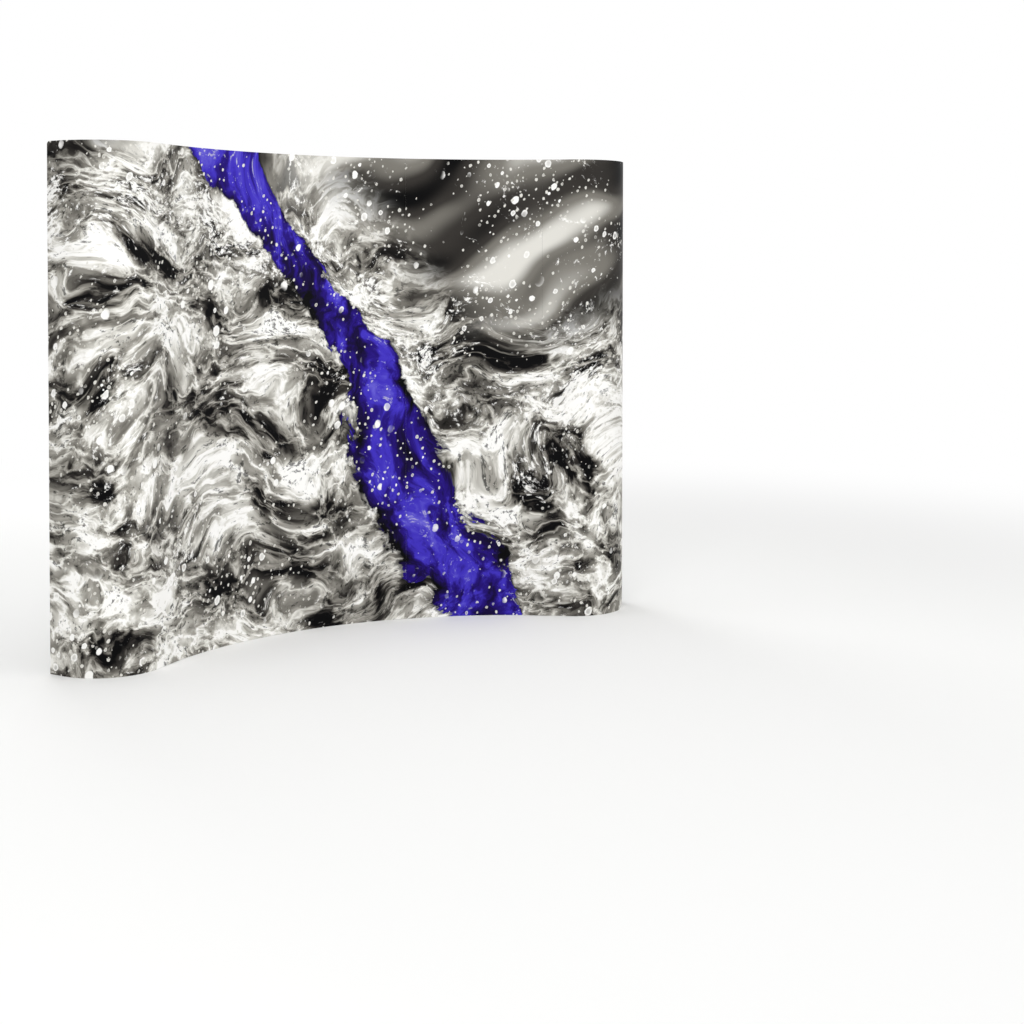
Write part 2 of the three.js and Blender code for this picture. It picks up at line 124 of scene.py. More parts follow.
PANEL_BACK = ARC_RADIUS + PANEL_THICKNESS
BAR_FRONT = PANEL_BACK + MAGNET_STRIP_THICKNESS + SEAT_GAP
BAR_BACK = BAR_FRONT + BAR_DEPTH
FRONT_FACE = BAR_BACK + SEAT_GAP
FRONT_PINS = FRONT_FACE + HUB_PIN_DEPTH
REAR_PINS = FRONT_PINS + FRAME_DEPTH
REAR_FACE = REAR_PINS + HUB_PIN_DEPTH


def pin_span(radius):
    """Distance between the pins of two neighbouring hubs, across the bay."""
    return 2 * (radius * sin(HALF_BAY) - HUB_PIN_OFFSET * cos(HALF_BAY))


FRONT_SPAN = pin_span(FRONT_PINS)
REAR_SPAN = pin_span(REAR_PINS)
BAY_DEPTH = FRAME_DEPTH * cos(HALF_BAY)
TUBE_LENGTH = sqrt(((FRONT_SPAN + REAR_SPAN) / 2) ** 2 + BAY_DEPTH**2)
UPRIGHT_SPAN = sqrt(TUBE_LENGTH**2 - FRAME_DEPTH**2)
ROW_PITCH = UPRIGHT_SPAN + 2 * HUB_PIN_OFFSET
BOTTOM_HUB = HUB_SIZE / 2
TOP_HUB = BOTTOM_HUB + (ROWS - 1) * ROW_PITCH
PANEL_TOP = TOP_HUB + PANEL_ABOVE_TOP_HUB

SLOT_WIDTH = EYE_THICKNESS + 2 * SEAT_GAP
SLOT_START = HUB_PIN_OFFSET - EYE_RADIUS - 0.003
CURL_FRONT = (
    (ARC_RADIUS + CURL_RADIUS) * cos(ARC_HALF_ANGLE) - LEAD_OUT * sin(ARC_HALF_ANGLE) - CURL_RADIUS
)
HUB_BACK = REAR_FACE * cos(HALF_BAY) + HUB_SIZE / 2 * sin(HALF_BAY)
ARC_CENTRE_Y = -(CURL_FRONT + HUB_BACK) / 2

# ---- camera

LENS = 56.543
SENSOR = 36
CAMERA_PLACE = (-3.3355, -6.7876, 1.703)
CAMERA_YAW = radians(-29.897)
CAMERA_TILT = radians(1.5)
CAMERA_SHIFT = (0.0552, -0.1964)


def add_camera():
    """A nearly level camera at eye height, 30 degrees to the left of the wall's middle.

    The little tilt lets the shift be smaller, so that the other views take in the wall's top.
    """
    camera = bpy.data.cameras.new("camera")
    camera.sensor_fit = "HORIZONTAL"
    camera.sensor_width = SENSOR
    camera.lens = LENS
    camera.shift_x, camera.shift_y = CAMERA_SHIFT
    camera.clip_end = 100
    holder = bpy.data.objects.new("camera", camera)
    holder.location = CAMERA_PLACE
    holder.rotation_euler = (pi / 2 - CAMERA_TILT, 0, CAMERA_YAW)
    bpy.context.scene.collection.objects.link(holder)
    bpy.context.scene.camera = holder


# ---- material kit


def tint(red, green, blue):
    """A linear colour from the usual 0 to 255 values."""
    shares = (part / 255 for part in (red, green, blue))
    return (*(s / 12.92 if s <= 0.04045 else ((s + 0.055) / 1.055) ** 2.4 for s in shares), 1)


class Wire:
    """A node's output. Arithmetic on it adds Math nodes to its material."""

    def __init__(self, finish, node, output=0):
        self.finish, self.node = finish, node
        self.socket = node.outputs[output] if node.outputs else None

    def part(self, output):
        return Wire(self.finish, self.node, output)

    def math(self, operation, *values):
        settings = {"operation": operation}
        return self.finish.node("Math", settings, dict(enumerate(values)))

    def __add__(self, other):
        return self.math("ADD", self, other)

    def __sub__(self, other):
        return self.math("SUBTRACT", self, other)

    def __rsub__(self, other):
        return self.math("SUBTRACT", other, self)

    def __mul__(self, other):
        return self.math("MULTIPLY", self, other)

    def __truediv__(self, other):
        return self.math("DIVIDE", self, other)

    def __rtruediv__(self, other):
        return self.math("DIVIDE", other, self)

    __radd__ = __add__
    __rmul__ = __mul__

    def abs(self):
        return self.math("ABSOLUTE", self)

    def sine(self):
        return self.math("SINE", self)

    def most(self, other):
        return self.math("MAXIMUM", self, other)

    def step(self, low, high, to_low=0.0, to_high=1.0):
        """Rises smoothly from to_low to to_high, as this goes from low to high."""
        settings = {"interpolation_type": "SMOOTHERSTEP"}
        values = {"Value": self, "From Min": low, "From Max": high}
        values |= {"To Min": to_low, "To Max": to_high}
        return self.finish.node("MapRange", settings, values)


# The Mix node has sockets for each kind of data. These are the ones for colours.
MIX_SHARE, MIX_FIRST, MIX_SECOND = 0, 6, 7
MIX_RESULT = 2


class Finish:
    """A material under construction, or the world's light."""

    def __init__(self, name, kind="materials"):
        self.made = getattr(bpy.data, kind).new(name)
        self.made.use_nodes = True
        self.nodes = self.made.node_tree.nodes
        self.links = self.made.node_tree.links
        self.nodes.clear()

    def node(self, kind, settings=None, values=None):
        """Adds a node. Its settings come first, then its sockets' values or links."""
        made = self.nodes.new("ShaderNode" + kind)
        for key, value in (settings or {}).items():
            if key == "stops":
                set_stops(made.color_ramp, value)
            else:
                setattr(made, key, value)
        for key, value in (values or {}).items():
            if isinstance(value, Wire):
                self.links.new(value.socket, made.inputs[key])
            else:
                made.inputs[key].default_value = value
        return Wire(self, made)

    def mix(self, share, first, second):
        """The second colour over the first, by a share from 0 to 1."""
        values = {MIX_SHARE: share, MIX_FIRST: first, MIX_SECOND: second}
        return self.node("Mix", {"data_type": "RGBA"}, values).part(MIX_RESULT)

    def ramp(self, value, stops, interpolation="EASE"):
        made = self.node("ValToRGB", {"stops": stops}, {0: value})
        made.node.color_ramp.interpolation = interpolation
        return made

    def noise(self, place, scale, detail=2.0, roughness=0.5):
        values = {"Vector": place, "Scale": scale, "Detail": detail, "Roughness": roughness}
        return self.node("TexNoise", None, values)

    def apart(self, place):
        """A place's X, Y and Z, as a node's three outputs."""
        return self.node("SeparateXYZ", None, {0: place})

    def turned(self, place, degrees):
        """The place turned about Z."""
        values = {"Vector": place, "Angle": radians(degrees)}
        return self.node("VectorRotate", {"rotation_type": "Z_AXIS"}, values)

    def moved(self, place, by, operation="ADD"):
        return self.node("VectorMath", {"operation": operation}, {0: place, 1: by})

    def stretched(self, place, factors):
        return self.moved(place, factors, "MULTIPLY")

    def warped(self, place, scale, reach, detail=2.0):
        """The place pushed about by a noise, by up to about half of reach each way."""
        push = self.noise(place, scale, detail).part("Color")
        centred = self.moved(push, (0.5, 0.5, 0.5), "SUBTRACT")
        return self.moved(place, self.stretched(centred, (reach, reach, reach)))

    def bump(self, height, distance, strength):
        """The surface's normal, where a height from 0 to 1 raises it by up to a distance."""
        values = {"Height": height, "Distance": distance, "Strength": strength}
        return self.node("Bump", None, values)

    def done(self, **sockets):
        values = {name.replace("_", " "): value for name, value in sockets.items()}
        return self.shown(self.node("BsdfPrincipled", None, values))

    def shown(self, surface, output="OutputMaterial"):
        self.node(output, None, {"Surface": surface})
        return self.made


def set_stops(ramp, stops):
    while len(ramp.elements) > 1:
        ramp.elements.remove(ramp.elements[0])
    for index, (position, colour) in enumerate(stops):
        element = ramp.elements[0] if index == 0 else ramp.elements.new(position)
        element.position, element.color = position, colour


# ---- finishes

PRINT_MAP = "developed"
TURNED_MAP = "turned"

INK_BLACK = tint(3, 3, 4)
INK_SMOKE = tint(52, 49, 46)
INK_STONE = tint(120, 117, 110)
INK_ASH = tint(168, 165, 157)
INK_PALE = tint(222, 220, 213)
INK_WHITE = tint(252, 251, 248)
VIOLET_DEEP = tint(20, 8, 58)
VIOLET_DARK = tint(36, 18, 118)
VIOLET_MAIN = tint(64, 50, 186)
VIOLET_PALE = tint(104, 96, 208)


def laminate_film(finish, place):
    """The fine pebbled surface of an embossed satin film."""
    pebble = finish.noise(place, 1800, 2, 0.6)
    return finish.bump(pebble, 0.00004, 0.6)


def poured_print():
    """Poured inks, printed across all five panels.

    The map holds the developed length and the height in metres, so the picture runs on over
    the seams. Wide soft bands lie behind, at the upper right. Marbled streams fill the rest,
    with froth and round drops strewn over them, and one violet stream falls across them all.
    """
    finish = Finish("printed laminate")
    place = finish.node("UVMap", {"uv_map": PRINT_MAP})
    length = finish.apart(place)
    height = length.part("Y")

    drift = finish.warped(place, 0.9, 0.9)
    swirl = finish.warped(drift, 2.6, 0.34, 3)
    curl = finish.warped(swirl, 8.5, 0.085, 3)
    bent = finish.apart(finish.moved(drift, place, "SUBTRACT"))
    gather = finish.noise(swirl, 3.2, 3, 0.55)
    grain = finish.noise(swirl, 34, 8, 0.70)

    # How far a point lies above the streams' upper edge, which falls to the right.
    swell = (length * 2.3 + 2.6).sine() * 0.20 + (length * 5.1 + 0.9).sine() * 0.05
    above = height - 1.62 + length * 0.34 - swell + bent.part("Y") * 0.7

    streams = marbled_streams(finish, swirl, curl, gather)
    picture = finish.mix(above.step(0.05, 0.55), streams, soft_bands(finish, drift))
    picture = frothed(finish, picture, grain, gather, above)
    picture = violet_stream(finish, picture, length, height, bent, curl, grain)
    picture = strewn_drops(finish, picture, place, gather)

    sheen = finish.noise(place, 2.3, 2)
    return finish.done(
        Base_Color=picture,
        Roughness=sheen.step(0.3, 0.7, 0.40, 0.48),
        Specular_IOR_Level=0.06,
        Normal=laminate_film(finish, place),
    )


def soft_bands(finish, drift):
    """Wide bands of shade, as from far out of focus, that rise to the right."""
    slant = finish.stretched(finish.turned(drift, degrees=-34), (0.55, 2.1, 1))
    bands = finish.noise(slant, 1.45, 1.2, 0.4)
    stops = [(0.43, INK_BLACK), (0.51, INK_SMOKE), (0.58, INK_STONE), (0.68, INK_PALE)]
    return finish.ramp(bands, stops)


def marbled_streams(finish, swirl, curl, gather):
    """Inks drawn out into streams: glassy and broad in places, and finely drawn in others."""
    broad = finish.noise(finish.stretched(swirl, (1.0, 2.4, 1)), 2.0, 4, 0.5)
    fine = finish.noise(finish.stretched(curl, (1.0, 1.9, 1)), 2.6, 8, 0.58)
    share = gather.step(0.40, 0.62)
    tone = broad + (fine - broad) * share
    threads = finish.noise(finish.stretched(curl, (1.0, 2.4, 1)), 4.6, 5, 0.55)
    thread = 1 - (threads - 0.5).abs() * 13
    tone = tone + thread.most(0) * 0.11
    inks = (INK_BLACK, INK_SMOKE, INK_STONE, INK_ASH, INK_PALE, INK_WHITE)
    stops = list(zip((0.41, 0.45, 0.50, 0.55, 0.60, 0.65), inks))
    return finish.ramp(tone, stops, "LINEAR")


def frothed(finish, picture, grain, gather, above):
    """White froth along the streams' upper edge, and dark pits where it thins out."""
    edge = 1 - (above + 0.10).abs().step(0.02, 0.40)
    froth = (grain + gather * 0.62 + edge * 0.11).step(0.92, 1.04)
    picture = finish.mix(froth * 0.92, picture, INK_WHITE)
    pits = (grain * 0.9 + gather * 0.30).step(0.47, 0.56, 1.0, 0.0)
    return finish.mix(pits * above.step(0.0, 0.4, 0.8, 0.0), picture, INK_BLACK)


def violet_stream(finish, picture, length, height, bent, curl, grain):
    """A broad violet stream that falls from the upper middle to the lower right."""
    path = length - 0.06 + (height - 1.2) * 0.62 + (height * 3.1 + 0.6).sine() * 0.13
    path = path + bent * 0.75
    reach = (height * 2.4 + 1.0).sine() * 0.06 + 0.21
    ragged = finish.noise(curl, 6.0, 5, 0.6)
    inside = path.abs() / reach + (ragged - 0.5) * 1.3
    tide = finish.noise(finish.stretched(curl, (2.1, 1.0, 1)), 3.0, 8, 0.60)
    depth = tide - inside.step(0.55, 0.98) * 0.07
    inks = (INK_BLACK, VIOLET_DEEP, VIOLET_DARK, VIOLET_MAIN, VIOLET_PALE)
    violets = finish.ramp(depth, list(zip((0.33, 0.41, 0.48, 0.56, 0.70), inks)))
    violets = finish.mix((grain + tide * 0.5).step(0.86, 0.96) * 0.5, violets, INK_PALE)
    picture = finish.mix(inside.step(0.93, 1.06, 0.75, 0.0), picture, INK_BLACK)
    return finish.mix(inside.step(0.92, 0.95, 1.0, 0.0), picture, violets)


def strewn_drops(finish, picture, place, gather):
    """Drops of three sizes, in swarms: lopsided, some run together, some with a clear middle."""
    wobble = finish.warped(finish.warped(place, 26, 0.012), 90, 0.006)
    lean = finish.stretched(finish.turned(wobble, degrees=24), (1.0, 0.76, 1))
    swarm = finish.noise(place, 1.5, 3, 0.6) * 1.8 + gather * 0.3
    for scale, size, few, shade in (
        (7.5, 0.17, 1.56, INK_WHITE),
        (15.0, 0.24, 1.50, INK_WHITE),
        (38.0, 0.27, 1.42, INK_PALE),
    ):
        values = {"Vector": lean, "Scale": scale}
        cells = finish.node("TexVoronoi", {"voronoi_dimensions": "2D"}, values)
        chance = finish.node("SeparateColor", None, {0: cells.part("Color")})
        rim = chance.part("Green") * size + size * 0.15
        across = cells / rim
        disc = across.step(0.78, 1.0, 1.0, 0.0)
        hollow = across.step(0.2, 0.85, chance.part("Blue") * 0.9 + 0.42, 1.0)
        kept = (chance * 0.6 + swarm).step(few, few + 0.12)
        picture = finish.mix(disc * kept * hollow * 0.95, picture, shade)
    return picture


def laminate_back():
    """The light grey, faintly mottled back of a printed sheet."""
    finish = Finish("laminate back")
    place = finish.node("UVMap", {"uv_map": PRINT_MAP})
    cloud = finish.noise(place, 5.5, 5, 0.6)
    weave = finish.noise(finish.stretched(place, (1, 0.12, 1)), 420, 3, 0.6)
    shades = [(0.3, tint(201, 201, 198)), (0.7, tint(211, 211, 208))]
    return finish.done(
        Base_Color=finish.ramp(cloud * 0.5 + weave * 0.5, shades),
        Roughness=cloud.step(0.3, 0.7, 0.5, 0.6),
        Normal=finish.bump(weave, 0.00005, 0.5),
    )


def cut_edge():
    """The grey core that shows along a sheet's cut edges."""
    finish = Finish("cut edge")
    place = finish.node("UVMap", {"uv_map": PRINT_MAP})
    nicks = finish.noise(place, 160, 4, 0.6)
    return finish.done(
        Base_Color=finish.ramp(nicks, [(0.3, tint(138, 137, 134)), (0.6, tint(172, 171, 167))]),
        Roughness=0.6,
    )


def magnet_rubber():
    """Dark magnet strip, with the fine lines of its rolling."""
    finish = Finish("magnet strip")
    place = finish.node("UVMap", {"uv_map": PRINT_MAP})
    lines = finish.noise(finish.stretched(place, (1, 0.02, 1)), 2400, 2, 0.5)
    dust = finish.noise(place, 60, 5, 0.6)
    return finish.done(
        Base_Color=finish.ramp(dust, [(0.3, tint(30, 28, 27)), (0.7, tint(46, 43, 41))]),
        Roughness=dust.step(0.3, 0.7, 0.62, 0.78),
        Normal=finish.bump(lines, 0.0001, 0.6),
    )


def moulded(name, low, high):
    """Glass filled nylon with a fine spark texture, a little shinier where hands rub it."""
    finish = Finish(name)
    place = finish.node("TexCoord").part("Object")
    spark = finish.noise(place, 1400, 3, 0.65)
    flow = finish.noise(place, 38, 4, 0.6)
    return finish.done(
        Base_Color=finish.ramp(flow, [(0.3, low), (0.7, high)]),
        Roughness=flow.step(0.3, 0.7, 0.40, 0.56),
        Normal=finish.bump(spark, 0.00012, 0.5),
    )


def drawn_metal(name, dark, light, rough):
    """Metal with the fine lines of drawing or turning along its length."""
    finish = Finish(name)
    place = finish.node("UVMap", {"uv_map": TURNED_MAP})
    lines = finish.noise(finish.stretched(place, (1, 0.015, 1)), 2600, 3, 0.6)
    haze = finish.noise(finish.stretched(place, (0.12, 1, 1)), 16, 4, 0.6)
    return finish.done(
        Base_Color=finish.ramp(haze, [(0.3, dark), (0.7, light)]),
        Metallic=1.0,
        Roughness=(haze * 0.5 + lines * 0.5).step(0.3, 0.7, rough - 0.05, rough + 0.07),
        Normal=finish.bump(lines, 0.00003, 0.5),
    )


def powder_coat():
    """Dark satin powder coat, with its slight orange peel and rubbed spots."""
    finish = Finish("powder coat")
    place = finish.node("TexCoord").part("Object")
    peel = finish.noise(place, 520, 2, 0.5)
    rub = finish.noise(finish.stretched(place, (1, 1, 0.25)), 24, 6, 0.65)
    return finish.done(
        Base_Color=finish.ramp(rub, [(0.35, tint(38, 40, 43)), (0.72, tint(58, 60, 64))]),
        Metallic=0.25,
        Roughness=rub.step(0.3, 0.7, 0.36, 0.48),
        Normal=finish.bump(peel, 0.00015, 0.45),
    )


PRINT = poured_print()
BACK = laminate_back()
CORE = cut_edge()
MAGNET = magnet_rubber()
NYLON = moulded("black nylon", tint(20, 20, 21), tint(33, 33, 34))
GREY_NYLON = moulded("grey nylon", tint(96, 98, 100), tint(118, 120, 122))
TUBE = drawn_metal("satin anodised tube", tint(196, 198, 202), tint(214, 216, 219), 0.30)
STEEL = drawn_metal("plated steel", tint(176, 177, 178), tint(202, 202, 201), 0.24)
COAT = powder_coat()

# ---- mesh kit

AS_IS = Matrix.Identity(4)
# Takes an outline's X and Y to X and Z, and its depth to Y.
UPRIGHT = Matrix(((1, 0, 0, 0), (0, 0, 1, 0), (0, 1, 0, 0), (0, 0, 0, 1)))
# Takes a turned part's axis from Z to X.
ALONG_X = Matrix.Rotation(pi / 2, 4, "Y")
HALF_TURN = Matrix.Rotation(pi, 4, "Z")

SHARP_ANGLE = radians(35)
SOFT_EDGE = 0.0006
FINE_EDGE = 0.0004
MITRE_LIMIT = 0.3
# Sides of the turned parts, from the pins up to the posts' sleeves.
PIN_SIDES = 16
RIVET_SIDES = 20
EYE_SIDES = 24
TUBE_SIDES = 28
BOSS_SIDES = 32
SLEEVE_SIDES = 36


class Shape:
    """A mesh under construction, made of closed forms, each with one of its finishes."""

    def __init__(self, *finishes):
        self.finishes = finishes
        self.bm = bmesh.new()
        self.map = self.bm.loops.layers.uv.new(TURNED_MAP)

    def loft(self, rings, finish, place=AS_IS, ends=True):
        """Skins closed rings of equally many points. With ends, it closes both with a face."""
        made = [[self.bm.verts.new(place @ point) for point in ring] for ring in rings]
        pairs = list(zip(made, made[1:])) if ends else list(zip(made, made[1:] + made[:1]))
        number = self.finishes.index(finish)
        count = len(rings[0])
        along = 0.0
        for step, (low, high) in enumerate(pairs):
            onward = along + (rings[(step + 1) % len(rings)][0] - rings[step][0]).length
            around = 0.0
            for index in range(count):
                after = (index + 1) % count
                reach = around + (rings[step][after] - rings[step][index]).length
                face = self.bm.faces.new((low[index], low[after], high[after], high[index]))
                face.material_index = number
                face.smooth = True
                corners = ((around, along), (reach, along), (reach, onward), (around, onward))
                for loop, corner in zip(face.loops, corners):
                    loop[self.map].uv = corner
                around = reach
            along = onward
        if ends:
            for ring in (made[0][::-1], made[-1]):
                face = self.bm.faces.new(ring)
                face.material_index = number
                for loop in face.loops:
                    loop[self.map].uv = (loop.vert.co.x, loop.vert.co.y)

    def slab(self, outline, depths, finish, place=AS_IS, edge=SOFT_EDGE):
        """An outline given thickness between two depths, with its edges rounded."""
        low, high = depths
        rings = [ring_at(outline, low + rise, -inset) for rise, inset in rounding(edge)]
        rings += [ring_at(outline, high - rise, -inset) for rise, inset in rounding(edge)[::-1]]
        self.loft(rings, finish, place)

    def tray(self, outline, depths, wall, floor, finish, place=AS_IS, edge=FINE_EDGE):
        """A slab with a pocket sunk from its high side down to a floor."""
        low, high = depths
        rings = [ring_at(outline, low), ring_at(outline, high - edge)]
        rings += [ring_at(outline, high, -edge), ring_at(outline, high, edge - wall)]
        rings += [ring_at(outline, high - edge, -wall), ring_at(outline, floor + edge, -wall)]
        rings += [ring_at(outline, floor, -wall - edge)]
        self.loft(rings, finish, place)

    def turned(self, profile, finish, place=AS_IS, sides=EYE_SIDES, ends=True):
        """A profile of (radius, distance) spun round Z. Without ends, the profile is a loop."""
        rings = [circle(radius, sides, distance) for radius, distance in profile]
        self.loft(rings, finish, place, ends)

    def box(self, spans, finish, place=AS_IS, edge=FINE_EDGE):
        (x0, x1), (y0, y1), (z0, z1) = spans
        outline = [Vector(corner) for corner in ((x0, y0), (x1, y0), (x1, y1), (x0, y1))]
        self.slab(outline, (z0, z1), finish, place, edge)

    def mesh(self, name):
        bmesh.ops.recalc_face_normals(self.bm, faces=self.bm.faces)
        return finished_mesh(name, self.bm, self.finishes)


def finished_mesh(name, bm, finishes):
    made = bpy.data.meshes.new(name)
    bm.to_mesh(made)
    bm.free()
    for finish in finishes:
        made.materials.append(finish)
    made.set_sharp_from_angle(angle=SHARP_ANGLE)
    return made


def ring_at(outline, depth, outset=0.0):
    return [point.to_3d() + Vector((0, 0, depth)) for point in offset(outline, outset)]


def rounding(edge, steps=2):
    """(rise, inset) along a rounded edge, from its end face to its side."""
    turns = (pi / 2 * step / steps for step in range(steps + 1))
    return [(edge * (1 - cos(turn)), edge * (1 - sin(turn))) for turn in turns]


def offset(outline, outset):
    """A closed outline, drawn anticlockwise, with each side moved out."""
    if not outset:
        return outline
    made = []
    for index, point in enumerate(outline):
        before = (point - outline[index - 1]).normalized()
        after = (outline[(index + 1) % len(outline)] - point).normalized()
        out = Vector((before.y + after.y, -before.x - after.x)).normalized()
        across = out.dot(Vector((before.y, -before.x)))
        made.append(point + out * (outset / max(MITRE_LIMIT, across)))
    return made


def circle(radius, sides, depth):
    turns = (tau * side / sides for side in range(sides))
    return [Vector((radius * cos(turn), radius * sin(turn), depth)) for turn in turns]


def place_piece(name, mesh, body, place=AS_IS, node=None):
    """Adds a piece that rides on a body and, where a node is named, stands for it."""
    piece = bpy.data.objects.new(name, mesh)
    bpy.context.scene.collection.objects.link(piece)
    piece.matrix_world = place
    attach(piece, body)
    if node:
        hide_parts(node)


def shifted(x=0.0, y=0.0, z=0.0):
    return Matrix.Translation((x, y, z))


def from_arc_centre(angle, radius, height=0.0):
    """A place whose +Y leads straight back from the arc's centre, at an angle to the right."""
    turn = Matrix.Rotation(-angle, 4, "Z")
    return shifted(y=ARC_CENTRE_Y) @ turn @ shifted(y=radius, z=height)


def row_height(row):
    return BOTTOM_HUB + row * ROW_PITCH


def column_angle(column):
    return (column - FRONT_PANELS / 2) * BAY_ANGLE


# ---- panels

ARC_STEP = 0.014
CURL_STEP = 0.008
CORNER_STEPS = 8
HEIGHT_STEPS = 24
MAGNET_STEP = 0.2
# How deep the strips and hangers are sunk into the sheet, so that no light shows between.
SHEET_SINK = 0.0002
# The places of a sheet's finishes in its mesh.
FACE, REAR, EDGE = 0, 1, 2


def station(length):
    """Where the print is at a length to the right of the middle, and the way to its back."""
    turned = min(length / ARC_RADIUS, ARC_HALF_ANGLE)
    back = Vector((sin(turned), cos(turned)))
    along = Vector((back.y, -back.x))
    point = back * ARC_RADIUS + along * max(0, min(length - ARC_END, LEAD_OUT))
    curled = max(0, min((length - CURL_START) / CURL_RADIUS, CURL_ANGLE))
    centre = point + back * CURL_RADIUS
    back = Matrix.Rotation(curled, 2) @ back
    point = centre - back * CURL_RADIUS
    point += Vector((back.y, -back.x)) * max(0, length - CURL_END)
    return point + Vector((0, ARC_CENTRE_Y)), back


def print_point(length, depth, height):
    """A point at a signed length from the middle and a depth behind the print."""
    point, back = station(abs(length))
    point += back * depth
    side = -1 if length < 0 else 1
    return Vector((side * point.x, point.y, height))


def steps_between(start, end, step):
    count = max(1, ceil((end - start) / step))
    return [start + (end - start) * index / count for index in range(count)]


def sheet_top(length):
    """The height of a sheet's top, which is rounded off at the free edges."""
    into = abs(length) - (PRINT_END - PANEL_FREE_CORNER)
    drop = PANEL_FREE_CORNER - sqrt(max(0, PANEL_FREE_CORNER**2 - max(0, into) ** 2))
    return PANEL_TOP - drop


def sheet_piece(name, body, node, lengths):
    """A printed sheet: its face, its back and the cut edges between them."""
    lengths = sorted(lengths)
    bm = bmesh.new()
    layer = bm.loops.layers.uv.new(PRINT_MAP)
    spots = {}

    def skin(depth):
        columns = []
        for length in lengths:
            rise = (sheet_top(length) - PANEL_FLOOR_GAP) / HEIGHT_STEPS
            heights = [PANEL_FLOOR_GAP + rise * row for row in range(HEIGHT_STEPS + 1)]
            columns.append([bm.verts.new(print_point(length, depth, h)) for h in heights])
            spots.update((vert, (length, vert.co.z)) for vert in columns[-1])
        return columns

    def quad(verts, number):
        made = bm.faces.new(verts)
        made.material_index = number
        made.smooth = number != EDGE
        for loop in made.loops:
            loop[layer].uv = spots[loop.vert]

    front, rear = skin(0), skin(PANEL_THICKNESS)
    for i in range(len(lengths) - 1):
        for j in range(HEIGHT_STEPS):
            quad([front[i][j], front[i + 1][j], front[i + 1][j + 1], front[i][j + 1]], FACE)
            quad([rear[i][j + 1], rear[i + 1][j + 1], rear[i + 1][j], rear[i][j]], REAR)
        quad([front[i][0], rear[i][0], rear[i + 1][0], front[i + 1][0]], EDGE)
        quad([front[i + 1][-1], rear[i + 1][-1], rear[i][-1], front[i][-1]], EDGE)
    for j in range(HEIGHT_STEPS):
        quad([front[0][j], front[0][j + 1], rear[0][j + 1], rear[0][j]], EDGE)
        quad([front[-1][j + 1], front[-1][j], rear[-1][j], rear[-1][j + 1]], EDGE)
    mesh = finished_mesh(name, bm, (PRINT, BACK, CORE))
    place_piece(name, mesh, body, node=node)


def magnet_strip(name, body, start, end):
    """A strip with chamfered corners, behind one edge of a sheet."""
    bm = bmesh.new()
    layer = bm.loops.layers.uv.new(PRINT_MAP)
    low, high = PANEL_FLOOR_GAP + MAGNET_STRIP_END_GAP, PANEL_TOP - MAGNET_STRIP_END_GAP
    near, far = PANEL_THICKNESS - SHEET_SINK, PANEL_THICKNESS + MAGNET_STRIP_THICKNESS
    chamfer = MAGNET_STRIP_THICKNESS / 4
    inset = chamfer if end > start else -chamfer
    section = [(start, near), (end, near), (end, far - chamfer)]
    section += [(end - inset, far), (start + inset, far), (start, far - chamfer)]
    levels = steps_between(low, high, MAGNET_STEP) + [high]
    rings = [[bm.verts.new(print_point(*spot, level)) for spot in section] for level in levels]
    for below, above, z0, z1 in zip(rings, rings[1:], levels, levels[1:]):
        for index, (length, _) in enumerate(section):
            after = (index + 1) % len(section)
            made = bm.faces.new((below[index], below[after], above[after], above[index]))
            onward = section[after][0]
            spots = ((length, z0), (onward, z0), (onward, z1), (length, z1))
            for loop, spot in zip(made.loops, spots):
                loop[layer].uv = spot
    bm.faces.new(rings[0][::-1])
    bm.faces.new(rings[-1])
    bmesh.ops.recalc_face_normals(bm, faces=bm.faces)
    mesh = bpy.data.meshes.new(name)
    bm.to_mesh(mesh)
    bm.free()
    mesh.materials.append(MAGNET)
    place_piece(name, mesh, body)


# The hanger's plate: its sides, from the ear's middle outwards, and its height on the hub.
HANGER_SIDES = (-0.0102, 0.0105)
HANGER_PLATE = (-0.002, 0.031)
HANGER_PLATE_THICKNESS = 0.0018
HANGER_ARM_ROOT = 0.0004
# The gussets under the arm, from its side, its underside and the sheet's back.
GUSSET_INSET = 0.0006
GUSSET_THICKNESS = 0.0016
GUSSET_RISE = (-0.004, 0.001)
GUSSET_REACH = (0.001, 0.0034)
HANGER_RIVETS = (0.0035, 0.0265)
# Like every turned part's profile, this one holds (radius, distance along the axis).
HANGER_RIVET_HEAD = ((0.0026, -0.0002), (0.0026, 0.0004), (0.00182, 0.0009), (0.00052, 0.0011))


